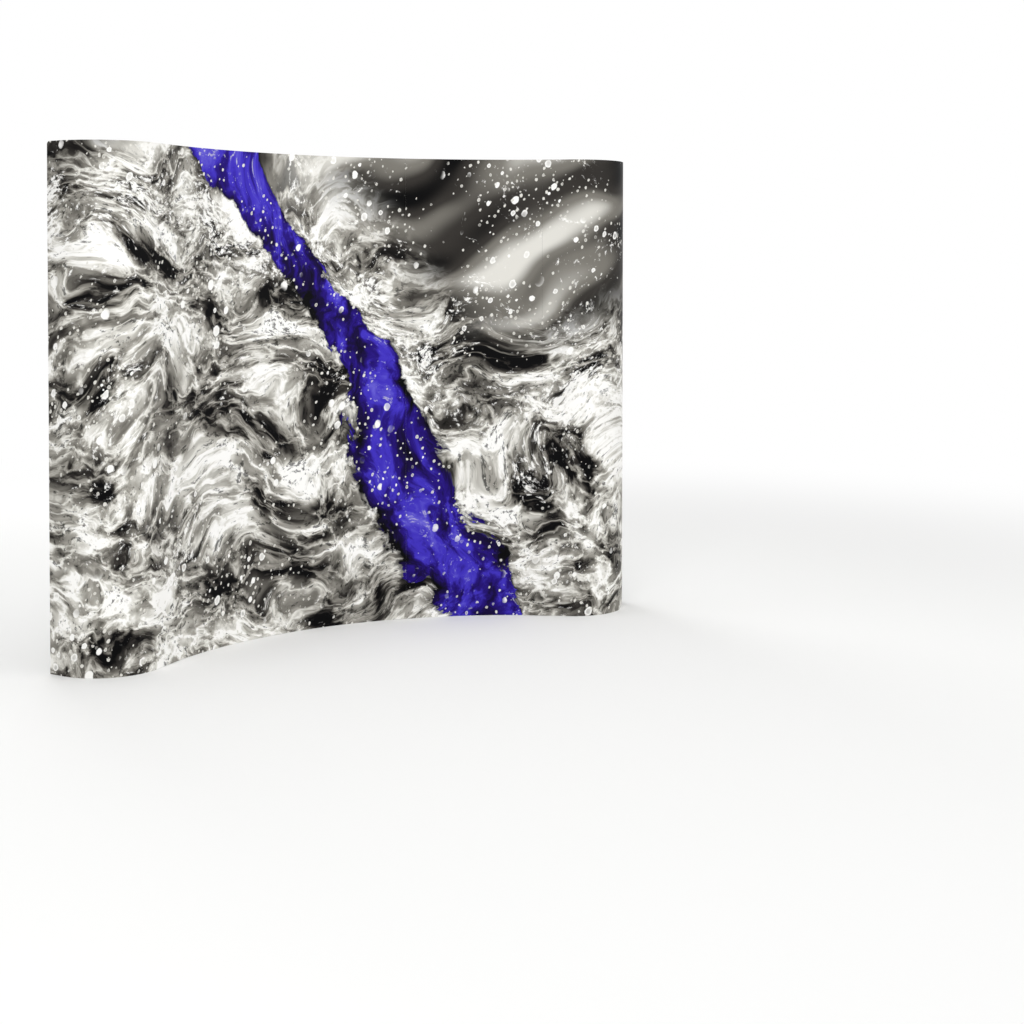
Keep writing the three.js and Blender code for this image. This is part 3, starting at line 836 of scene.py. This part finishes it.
def hanger(name, body, column, side):
    """A moulded hanger on a sheet's back: a riveted plate, and a hook over the hub's ear."""
    shape = Shape(NYLON, STEEL)
    middle = side * EAR_OFFSET
    back = PANEL_BACK - FRONT_FACE
    face = back + HANGER_PLATE_THICKNESS
    plate = sorted(middle + side * reach for reach in HANGER_SIDES)
    shape.box((plate, HANGER_PLATE, (back - SHEET_SINK, face)), NYLON, UPRIGHT, edge=0.0005)
    over = 2 * EAR_HEIGHT + HOOK_OVER_LIP
    top = over + HOOK_TOP_THICKNESS
    leg = [(side * HOOK_THICKNESS - EAR_TROUGH) / 2 for side in (-1, 1)]
    across = (middle - EAR_WIDTH / 2, middle + EAR_WIDTH / 2)
    arm = (across, (over, top), (back + HANGER_ARM_ROOT, leg[1]))
    drop = (across, (EAR_HEIGHT + SEAT_GAP, top), leg)
    for spans in (arm, drop):
        shape.box(spans, NYLON, UPRIGHT, edge=0.0007)
    height, depth = [over + rise for rise in GUSSET_RISE], [back + reach for reach in GUSSET_REACH]
    for x in (across[0] + GUSSET_INSET, across[1] - GUSSET_INSET - GUSSET_THICKNESS):
        shape.box(((x, x + GUSSET_THICKNESS), height, depth), NYLON, UPRIGHT, edge=0.0003)
    for height in HANGER_RIVETS:
        at = UPRIGHT @ shifted(middle, height, face)
        shape.turned(HANGER_RIVET_HEAD, STEEL, at, PIN_SIDES)
    place = from_arc_centre(column_angle(column), FRONT_FACE, TOP_HUB)
    place_piece(name, shape.mesh(name), body, place)


def front_panel(index):
    body, node = f"panel_{index + 1}", f"front_panel_{index + 1}"
    middle = (index - (FRONT_PANELS - 1) / 2) * PANEL_WIDTH
    half = (PANEL_WIDTH - PANEL_SEAM) / 2
    low, high = middle - half, middle + half
    sheet_piece(f"sheet_{index + 1}", body, node, steps_between(low, high, ARC_STEP) + [high])
    magnet_strip(f"magnet_{index + 1}_left", body, low, low + MAGNET_STRIP_WIDTH)
    magnet_strip(f"magnet_{index + 1}_right", body, high - MAGNET_STRIP_WIDTH, high)
    hanger(f"hanger_{index + 1}_left", body, index, 1)
    hanger(f"hanger_{index + 1}_right", body, index + 1, -1)


def end_panel(side):
    name = "right" if side > 0 else "left"
    body, node = f"{name}_end", f"end_panel_{name}"
    low = LAST_COLUMN + PANEL_SEAM / 2
    lengths = steps_between(low, CURL_START, ARC_STEP)
    lengths += steps_between(CURL_START, CURL_END, CURL_STEP)
    corner = PRINT_END - PANEL_FREE_CORNER
    lengths += steps_between(CURL_END, corner, ARC_STEP)
    lengths += [
        corner + PANEL_FREE_CORNER * sin(pi / 2 * step / CORNER_STEPS)
        for step in range(CORNER_STEPS + 1)
    ]
    sheet_piece(f"sheet_{name}_end", body, node, [side * length for length in lengths])
    magnet_strip(f"magnet_{name}_end", body, side * low, side * (low + MAGNET_STRIP_WIDTH))
    hanger(f"hanger_{name}_end", body, COLUMNS - 1 if side > 0 else 0, side)


# ---- hubs

RIM_SIDES = 72
CORNER_SHARPNESS = 40
WALL = 0.0022
PLATE_EDGE = 0.0012
GROOVE = (0.0225, 0.0285)
GROOVE_DEPTH = 0.0009
GROOVE_SLOPE = 0.0005
CENTRE_RADIUS = 0.0125
DISH_DEPTH = 0.0006
# The corner mouldings stand a hair inside the plate's outline and are sunk into the plate.
BLOCK_INSET = 0.0002
BLOCK_SINK = 0.0005
POCKET_FLOOR = HUB_FACE_PLATE + 0.004
RIB_SPAN = (0.0125, 0.0265)
RIB_WIDTH = 0.0016
RIB_BELOW_RIM = 0.003
BOSS = (
    (CENTRE_RADIUS + 0.0015, HUB_FACE_PLATE - BLOCK_SINK),
    (CENTRE_RADIUS + 0.0015, HUB_DEPTH - 0.0008),
    (CENTRE_RADIUS + 0.0008, HUB_DEPTH),
    (CENTRE_RADIUS - 0.0012, HUB_DEPTH),
    (CENTRE_RADIUS - 0.0018, HUB_DEPTH - 0.0008),
    (CENTRE_RADIUS - 0.0018, HUB_FACE_PLATE + 0.002),
)
STUD_UNDERCUT = (0.0004, 0.0005)
STUD_EDGE = 0.0009
STUD_SOCKET = ((0.0026, 0), (0.0022, 0.0012))
EAR_WEB_THICKNESS = 0.0018
EAR_WEB_ROOT = 0.001
EAR_WEB_TOP = 0.0035
EAR_WEB_FOOT = -0.006
REAR_CAP = (
    (CENTRE_RADIUS - 0.0016, 0.0009),
    (CENTRE_RADIUS - 0.0016, -0.0001),
    (CENTRE_RADIUS - 0.0026, -0.0007),
    (0.0040, -0.0009),
    (0.0035, -0.0002),
)


def hub_reach(angle):
    """How far the hub's outline is from its middle: a square with cut, softened corners."""
    across, up = abs(cos(angle)), abs(sin(angle))
    half = HUB_SIZE / 2
    sides = (across / half, up / half, (across + up) / (HUB_SIZE - HUB_CORNER))
    return sum(side**CORNER_SHARPNESS for side in sides) ** (-1 / CORNER_SHARPNESS)


def hub_ring(depth, inset=0.0, radius=None):
    ring = []
    for step in range(RIM_SIDES):
        angle = tau * step / RIM_SIDES
        reach = radius if radius is not None else hub_reach(angle) - inset
        ring.append(Vector((reach * cos(angle), reach * sin(angle), depth)))
    return ring


def hub_plate(shape, place):
    """The plate at the hub's face, with a shallow ring groove and a dished middle."""
    inner, outer = GROOVE
    rings = [hub_ring(HUB_FACE_PLATE)]
    rings += [hub_ring(rise, inset) for rise, inset in rounding(PLATE_EDGE, 3)[::-1]]
    for depth, radius in (
        (0, outer),
        (GROOVE_DEPTH, outer - GROOVE_SLOPE),
        (GROOVE_DEPTH, inner + GROOVE_SLOPE),
        (0, inner),
        (0, CENTRE_RADIUS),
        (DISH_DEPTH, CENTRE_RADIUS - DISH_DEPTH),
    ):
        rings.append(hub_ring(depth, radius=radius))
    shape.loft(rings, NYLON, place)


def quarter_turn(point, quarters):
    for _ in range(quarters):
        point = Vector((-point.y, point.x))
    return point


def corner_block():
    """Outline of the moulding between the right slot and the upper one."""
    low, high = TUBE_SPACING / 2 - SLOT_WIDTH / 2, TUBE_SPACING / 2 + SLOT_WIDTH / 2
    half = HUB_SIZE / 2 - BLOCK_INSET
    cut = HUB_SIZE / 2 - HUB_CORNER
    corners = ((SLOT_START, high), (half, high), (half, cut), (cut, half), (-low, half))
    return [Vector(corner) for corner in (*corners, (-low, SLOT_START))]


def hub_body(shape, slots, place):
    """Plate, four ribbed corners with a slot between each two, a middle boss, and the pins."""
    hub_plate(shape, place)
    outline = corner_block()
    depths = (HUB_FACE_PLATE - BLOCK_SINK, HUB_DEPTH)
    for quarter in range(4):
        turned = [quarter_turn(point, quarter) for point in outline]
        shape.tray(turned, depths, WALL, POCKET_FLOOR, NYLON, place)
        rib = rib_outline(*(quarter_turn(Vector((spot, spot)), quarter) for spot in RIB_SPAN))
        shape.slab(rib, (HUB_FACE_PLATE, HUB_DEPTH - RIB_BELOW_RIM), NYLON, place, edge=0.0003)
    shape.turned(BOSS, NYLON, place, BOSS_SIDES)
    for quarter in range(4):
        if slots[quarter]:
            spot = quarter_turn(Vector((HUB_PIN_OFFSET, TUBE_SPACING / 2)), quarter)
            along = Vector((1, 0)) if quarter % 2 else Vector((0, 1))
            hub_pin(shape, spot, along, place)


def rib_outline(start, end):
    side = (end - start).normalized()
    side = Vector((side.y, -side.x)) * RIB_WIDTH / 2
    return [start + side, end + side, end - side, start - side]


def hub_pin(shape, spot, along, place):
    reach = SLOT_WIDTH / 2 + WALL
    profile = [(PIN_RADIUS, -reach), (PIN_RADIUS, reach)]
    lie = along.to_3d().to_track_quat("Z", "Y").to_matrix().to_4x4()
    at = shifted(spot.x, spot.y, HUB_PIN_DEPTH)
    shape.turned(profile, STEEL, place @ at @ lie, PIN_SIDES)


def hub_stud(shape, place):
    """The headed stud that a channel bar's keyhole drops over."""
    neck_end = -(2 * SEAT_GAP + KEY_PLATE_THICKNESS)
    tip = neck_end - STUD_HEAD_THICKNESS
    inset, drop = STUD_UNDERCUT
    profile = [
        (STUD_NECK_RADIUS, HUB_FACE_PLATE / 2),
        (STUD_NECK_RADIUS, neck_end),
        (STUD_HEAD_RADIUS - inset, neck_end),
        (STUD_HEAD_RADIUS, neck_end - drop),
        (STUD_HEAD_RADIUS, tip + STUD_EDGE),
        (STUD_HEAD_RADIUS - STUD_EDGE, tip),
    ]
    profile += [(radius, tip + depth) for radius, depth in STUD_SOCKET]
    shape.turned(profile, NYLON, place, TUBE_SIDES)


def hub_ear(shape, side, place):
    """An upward ear for a panel's hanger: a shelf, its lip and a web under them."""
    middle = side * EAR_OFFSET
    across = (middle - EAR_WIDTH / 2, middle + EAR_WIDTH / 2)
    front = -EAR_TROUGH - EAR_LIP
    under = EAR_HEIGHT - EAR_SHELF
    shelf = (across, (under, EAR_HEIGHT), (front, HUB_FACE_PLATE / 2))
    lip = (across, (under, 2 * EAR_HEIGHT), (front, front + EAR_LIP))
    shape.box(shelf, NYLON, place, edge=0.0005)
    shape.box(lip, NYLON, place, edge=0.0007)
    near, far = front + EAR_WEB_ROOT, EAR_WEB_ROOT
    corners = ((near, EAR_WEB_TOP), (far, EAR_WEB_FOOT), (far, EAR_WEB_TOP))
    # The web's outline is drawn in depth and height, and its thickness runs across.
    lie = Matrix(((0, 0, 1, middle), (0, 1, 0, 0), (1, 0, 0, 0), (0, 0, 0, 1)))
    depths = (-EAR_WEB_THICKNESS / 2, EAR_WEB_THICKNESS / 2)
    shape.slab([Vector(corner) for corner in corners], depths, NYLON, place @ lie, edge=0.0002)


def front_hub(shape, slots, place):
    hub_body(shape, slots, place)
    hub_stud(shape, place)
    if not slots[1]:
        hub_ear(shape, 1, place)
        hub_ear(shape, -1, place)


def rear_hub(shape, slots, place):
    """A rear hub's face is to the back, so its right and left change places."""
    right, up, left, down = slots
    hub_body(shape, (left, up, right, down), place)
    shape.turned(REAR_CAP, GREY_NYLON, place, BOSS_SIDES)


POST_FOOT = (
    (POST_CATCH_RADIUS, HUB_DEPTH - 0.001),
    (POST_CATCH_RADIUS, HUB_DEPTH + 0.002),
    (POST_CATCH_RADIUS - 0.0012, HUB_DEPTH + 0.0032),
    (POST_RADIUS + 0.0006, HUB_DEPTH + 0.0075),
    (POST_RADIUS, HUB_DEPTH + 0.009),
)
POST_PARTING = 0.0006
CATCH_SINK = 0.0005
CATCH_EDGE = 0.0012
CATCH_GROOVES = 4
CATCH_GROOVE_START = 0.003
CATCH_GROOVE_PITCH = 0.0034
# A groove round the sleeve, as (depth, distance along).
CATCH_GROOVE = ((0, 0), (0.0007, 0.0004), (0.0007, 0.0012), (0, 0.0016))


def locking_post(shape, length, place):
    """Two half posts between a pair of hubs, with a catch sleeve where they meet."""
    middle = length / 2
    half = [*POST_FOOT, (POST_RADIUS, middle - POST_PARTING / 2)]
    shape.turned(half, NYLON, place, TUBE_SIDES)
    other = [(radius, length - depth) for radius, depth in half]
    shape.turned(other, NYLON, place, TUBE_SIDES)
    catch = POST_CATCH_LENGTH / 2
    end = [(POST_RADIUS - CATCH_SINK, -catch), (POST_CATCH_RADIUS - CATCH_EDGE, -catch)]
    end += [(POST_CATCH_RADIUS, CATCH_EDGE - catch)]
    sleeve = list(end)
    for groove in range(CATCH_GROOVES):
        start = -catch + CATCH_GROOVE_START + groove * CATCH_GROOVE_PITCH
        sleeve += [(POST_CATCH_RADIUS - depth, start + along) for depth, along in CATCH_GROOVE]
    sleeve += [(radius, -along) for radius, along in end[::-1]]
    shape.turned(sleeve, GREY_NYLON, place @ shifted(z=middle), SLEEVE_SIDES)


REAR_DEPTH = REAR_FACE - FRONT_FACE


def hub_piece(name, shape, node, place):
    place_piece(name, shape.mesh(name), "frame", place, node)


def hubs():
    # A rear hub is a front hub turned half round about the height, at the frame's back.
    rear_turn = shifted(y=REAR_DEPTH) @ HALF_TURN @ UPRIGHT
    for column in range(COLUMNS):
        for row in range(ROWS):
            spot = f"c{column + 1}_r{row + 1}"
            slots = (column < COLUMNS - 1, row < ROWS - 1, column > 0, row > 0)
            place = from_arc_centre(column_angle(column), FRONT_FACE, row_height(row))
            front = Shape(NYLON, STEEL, GREY_NYLON)
            front_hub(front, slots, UPRIGHT)
            if 0 < column < COLUMNS - 1:
                rear_hub(front, slots, rear_turn)
                locking_post(front, REAR_DEPTH, UPRIGHT)
                hub_piece(f"hub_pair_{spot}", front, f"locked_hubs_{spot}", place)
                continue
            hub_piece(f"hub_front_{spot}", front, f"front_hub_{spot}", place)
            rear = Shape(NYLON, STEEL, GREY_NYLON)
            rear_hub(rear, slots, rear_turn)
            hub_piece(f"hub_rear_{spot}", rear, f"rear_hub_{spot}", place)


# ---- crossed tubes

TUBE_WALL = 0.0012
TUBE_LIP = 0.0004
TUBE_BORE = 0.001
PIN_PLAY = 0.0001
NECK_REACH = (EYE_RADIUS - 0.0025, TUBE_START + 0.0015)
NECK_INSET = 0.0003
COLLAR = (
    (TUBE_RADIUS - 0.0024, TUBE_START - 0.0022),
    (TUBE_RADIUS - 0.0014, TUBE_START - 0.0016),
    (TUBE_RADIUS - 0.0009, TUBE_START - 0.0008),
    (TUBE_RADIUS - 0.0009, TUBE_START + 0.0012),
)
RIVET_RADIUS = 0.0024
RIVET_HEAD_RADIUS = 0.0042
RIVET_HEAD_HEIGHT = 0.0016
RIVET_HEAD_TURNS = (0, 0.35, 0.75, 1.15, 1.45)
RIVET_SINK = 0.0006
WASHER_RADIUS = 0.0055
WASHER_EDGE = (0.0003, 0.0002)


def link_tube(shape, place):
    """An aluminium tube from end plug to end plug."""
    end = [
        (TUBE_RADIUS - TUBE_WALL, TUBE_START + TUBE_BORE),
        (TUBE_RADIUS - TUBE_WALL, TUBE_START),
        (TUBE_RADIUS - TUBE_LIP, TUBE_START),
        (TUBE_RADIUS, TUBE_START + TUBE_LIP),
    ]
    profile = end + [(radius, TUBE_LENGTH - along) for radius, along in end[::-1]]
    shape.turned(profile, TUBE, place @ ALONG_X, TUBE_SIDES)


def link_end(shape, place):
    """The moulded plug at a tube's end, with its eye on the hub's pin at the place's origin."""
    half, edge = EYE_THICKNESS / 2, SOFT_EDGE
    bore, rim = PIN_RADIUS + PIN_PLAY, EYE_RADIUS
    eye = [(bore, edge - half), (bore + edge, -half), (rim - edge, -half), (rim, edge - half)]
    eye += [(radius, -along) for radius, along in eye[::-1]]
    shape.turned(eye, NYLON, place, EYE_SIDES, ends=False)
    thick = half - NECK_INSET
    neck = (NECK_REACH, (-NECK_WIDTH / 2, NECK_WIDTH / 2), (-thick, thick))
    shape.box(neck, NYLON, place, edge=0.0008)
    shape.turned(COLLAR, NYLON, place @ ALONG_X, EYE_SIDES)


def rivet(shape, place):
    """The rivet at the crossing: a domed head on each outer side, and a washer in the middle."""
    outside = TUBE_SPACING / 2 + TUBE_RADIUS
    foot = outside - RIVET_SINK
    head = [(RIVET_HEAD_RADIUS, foot)]
    for turn in RIVET_HEAD_TURNS:
        head.append((RIVET_HEAD_RADIUS * cos(turn), outside + RIVET_HEAD_HEIGHT * sin(turn)))
    for side in (1, -1):
        profile = [(radius, side * height) for radius, height in head]
        shape.turned(profile, STEEL, place, RIVET_SIDES)
    between = TUBE_SPACING / 2 - TUBE_RADIUS
    inset, drop = WASHER_EDGE
    washer = [(WASHER_RADIUS - inset, -between), (WASHER_RADIUS, drop - between)]
    washer += [(radius, -along) for radius, along in washer[::-1]]
    shape.turned(washer, NYLON, place, EYE_SIDES)
    shape.turned([(RIVET_RADIUS, -foot), (RIVET_RADIUS, foot)], STEEL, place, PIN_SIDES)


def scissor_meshes(name, front_span, rear_span, depth):
    """Meshes of a pair of tubes, and of its plugs and rivet. X runs along the bay."""
    slope = Vector(((front_span + rear_span) / 2, depth))
    forth = Matrix.Rotation(Vector((1, 0)).angle(slope), 4, "Z")
    back = Matrix.Rotation(pi - Vector((1, 0)).angle(slope), 4, "Z")
    links = (
        shifted(-front_span / 2, 0, TUBE_SPACING / 2) @ forth,
        shifted(front_span / 2, 0, -TUBE_SPACING / 2) @ back,
    )
    tubes, fittings = Shape(TUBE), Shape(NYLON, STEEL)
    far_end = shifted(x=TUBE_LENGTH) @ HALF_TURN
    for place in links:
        link_tube(tubes, place)
        link_end(fittings, place)
        link_end(fittings, place @ far_end)
    crossing = depth * front_span / (front_span + rear_span)
    rivet(fittings, shifted(y=crossing))
    return tubes.mesh(f"{name}_tubes"), fittings.mesh(f"{name}_fittings")


def scissor_pair(spot, node, meshes, place):
    tubes, fittings = meshes
    place_piece(f"tubes_{spot}", tubes, "frame", place, node)
    place_piece(f"fittings_{spot}", fittings, "frame", place)


def scissors():
    cross = scissor_meshes("cross", FRONT_SPAN, REAR_SPAN, BAY_DEPTH)
    upright = scissor_meshes("upright", UPRIGHT_SPAN, UPRIGHT_SPAN, FRAME_DEPTH)
    pin_line = FRONT_PINS * cos(HALF_BAY) + HUB_PIN_OFFSET * sin(HALF_BAY)
    for bay in range(FRONT_PANELS):
        angle = (bay - (FRONT_PANELS - 1) / 2) * BAY_ANGLE
        for row in range(ROWS):
            spot = f"b{bay + 1}_r{row + 1}"
            place = from_arc_centre(angle, pin_line, row_height(row))
            scissor_pair(spot, f"cross_tubes_{spot}", cross, place)
    stand = Matrix.Rotation(-pi / 2, 4, "Y")
    for column in range(COLUMNS):
        for level in range(ROWS - 1):
            spot = f"c{column + 1}_l{level + 1}"
            place = from_arc_centre(column_angle(column), FRONT_PINS, row_height(level + 0.5))
            scissor_pair(spot, f"upright_tubes_{spot}", upright, place @ stand)


# ---- channel bars

BAR_CUT = 0.0012
BAR_CUT_ABOVE_MIDDLE = 0.02
BAR_STEP = 0.25
BAR_BEND = 0.0016
BAR_INNER_BEND = 0.0004
BEND_STEPS = 3
KEY_PLATE_SINK = 0.0003
KEY_MOUTH = radians(38)
KEY_STEPS = 8
JOINT_HALF_LENGTH = 0.034
JOINT_PLAY = 0.0006
JOINT_DEPTHS = (BAR_WALL + 0.0003, BAR_DEPTH - 0.0032)
JOINT_PIN_RISE = 0.022
JOINT_PIN_HEAD = (
    (0.0036, BAR_DEPTH - 0.0034),
    (0.0036, BAR_DEPTH - 0.0024),
    (0.0026, BAR_DEPTH - 0.0018),
    (0.0008, BAR_DEPTH - 0.0016),
)


def channel_outline():
    """The channel's section: a U that opens to the back, with rounded bends."""
    half = BAR_WIDTH / 2
    outer = [(-half, BAR_DEPTH)]
    for centre, start in ((-half + BAR_BEND, pi), (half - BAR_BEND, 3 * pi / 2)):
        for step in range(BEND_STEPS + 1):
            turn = start + pi / 2 * step / BEND_STEPS
            outer.append((centre + BAR_BEND * cos(turn), BAR_BEND + BAR_BEND * sin(turn)))
    outer.append((half, BAR_DEPTH))
    inside, bend = half - BAR_WALL, BAR_INNER_BEND
    inner = [(inside, BAR_DEPTH), (inside, BAR_WALL + bend), (inside - bend, BAR_WALL)]
    inner += [(-x, depth) for x, depth in inner[::-1]]
    return [Vector(spot) for spot in outer + inner]


def key_plate(shape, row):
    """A plate across the channel's open back, in halves round the stud's keyhole."""
    depths = (BAR_DEPTH - KEY_PLATE_THICKNESS, BAR_DEPTH)
    inside = BAR_WIDTH / 2 - BAR_WALL + KEY_PLATE_SINK
    slot = STUD_NECK_RADIUS + SEAT_GAP
    hole = STUD_HEAD_RADIUS + 2 * SEAT_GAP
    edge = [Vector((0, KEY_PLATE_ABOVE)), Vector((0, slot))]
    edge += [Vector((slot * sin(t), slot * cos(t))) for t in (pi / 8, pi / 4, 3 * pi / 8, pi / 2)]
    for step in range(KEY_STEPS + 1):
        turn = KEY_MOUTH + (pi - KEY_MOUTH) * step / KEY_STEPS
        edge.append(Vector((hole * sin(turn), -BAR_TRAVEL + hole * cos(turn))))
    edge += [Vector((0, -KEY_PLATE_BELOW)), Vector((inside, -KEY_PLATE_BELOW))]
    edge += [Vector((inside, KEY_PLATE_ABOVE))]
    right = edge[::-1]
    left = [Vector((-spot.x, spot.y)) for spot in edge]
    for outline in (right, left):
        shape.slab(outline, depths, STEEL, shifted(z=row_height(row)) @ UPRIGHT, edge=0.0001)


def bar_joint(shape, height):
    """The folding joint inside a bar: a sprung sleeve with a pin at each side of the cut."""
    inside = BAR_WIDTH / 2 - BAR_WALL - JOINT_PLAY
    sleeve = ((-inside, inside), (-JOINT_HALF_LENGTH, JOINT_HALF_LENGTH), JOINT_DEPTHS)
    shape.box(sleeve, NYLON, shifted(z=height) @ UPRIGHT, edge=SOFT_EDGE)
    for rise in (-JOINT_PIN_RISE, JOINT_PIN_RISE):
        place = shifted(z=height + rise) @ UPRIGHT
        shape.turned(JOINT_PIN_HEAD, STEEL, place, RIVET_SIDES)


def channel_bars():
    low, high = BAR_FLOOR_GAP, TOP_HUB + BAR_ABOVE_TOP_HUB
    cuts = [row_height(level + 0.5) + BAR_CUT_ABOVE_MIDDLE for level in (0, 1)]
    ends = [low, *cuts, high]
    for column in range(COLUMNS):
        shape = Shape(COAT, STEEL, NYLON)
        for index, (start, end) in enumerate(zip(ends, ends[1:])):
            start += BAR_CUT / 2 if index else 0
            end -= BAR_CUT / 2 if index < len(ends) - 2 else 0
            rings = [
                [Vector((spot.x, spot.y, height)) for spot in channel_outline()]
                for height in steps_between(start, end, BAR_STEP) + [end]
            ]
            shape.loft(rings, COAT)
        for row in range(ROWS):
            key_plate(shape, row)
        for cut in cuts:
            bar_joint(shape, cut)
        name, body = f"bar_c{column + 1}", f"bar_{column + 1}"
        place = from_arc_centre(column_angle(column), BAR_FRONT)
        place_piece(name, shape.mesh(name), body, place, f"channel_{name}")


# ---- stage

FLOOR_REACH = 30.0
FLOOR_TINT = tint(240, 240, 239)
FADE_START = 1.9
FADE_END = 7.5
WHITE = (1, 1, 1, 1)
WORLD_LEVEL = 0.52
LAMP_AIM = Vector((0, 0, 1.1))


def seen_directly(finish):
    """1 where the camera, a reflection or clear glass looks, and 0 for the light that falls."""
    path = finish.node("LightPath")
    seen = path.part("Is Camera Ray").most(path.part("Is Glossy Ray"))
    return seen.most(path.part("Is Transmission Ray"))


def floor_finish():
    """A pale floor round the wall that passes into the white of the backdrop further out."""
    finish = Finish("studio floor")
    place = finish.node("NewGeometry")
    away = finish.node("VectorMath", {"operation": "LENGTH"}, {0: place}).part("Value")
    matt = finish.node("BsdfDiffuse", None, {"Color": FLOOR_TINT})
    white = finish.node("Emission", None, {"Color": WHITE, "Strength": 1.0})
    share = away.step(FADE_START, FADE_END) * seen_directly(finish)
    return finish.shown(finish.node("MixShader", None, {0: share, 1: matt, 2: white}))


def add_floor():
    bpy.ops.mesh.primitive_plane_add(size=2 * FLOOR_REACH)
    floor = bpy.context.object
    floor.name = "floor"
    floor.data.materials.append(floor_finish())


def add_world():
    """Even white light, and plain white for the camera and for what reflects."""
    sky = Finish("studio", "worlds")
    level = seen_directly(sky) * (1 - WORLD_LEVEL) + WORLD_LEVEL
    light = sky.node("Background", None, {"Color": WHITE, "Strength": level})
    bpy.context.scene.world = sky.shown(light, "OutputWorld")


def add_lamp(name, place, size, watts):
    lamp = bpy.data.lights.new(name, "AREA")
    lamp.shape = "SQUARE"
    lamp.size = size
    lamp.energy = watts
    holder = bpy.data.objects.new(name, lamp)
    holder.location = place
    holder.rotation_euler = (LAMP_AIM - Vector(place)).to_track_quat("-Z", "Y").to_euler()
    bpy.context.scene.collection.objects.link(holder)


def add_lamps():
    add_lamp("front_left", (-4.5, -6.5, 4.5), size=4.0, watts=210)
    add_lamp("front_right", (5.0, -6.0, 3.5), size=4.0, watts=100)
    add_lamp("behind", (0.5, 6.5, 4.5), size=4.0, watts=170)
    add_lamp("overhead", (0.0, -1.0, 6.5), size=5.0, watts=165)


# ---- making

bpy.context.scene.view_settings.view_transform = "Standard"
add_camera()
for panel in range(FRONT_PANELS):
    front_panel(panel)
end_panel(-1)
end_panel(1)
hubs()
scissors()
channel_bars()
add_floor()
add_world()
add_lamps()
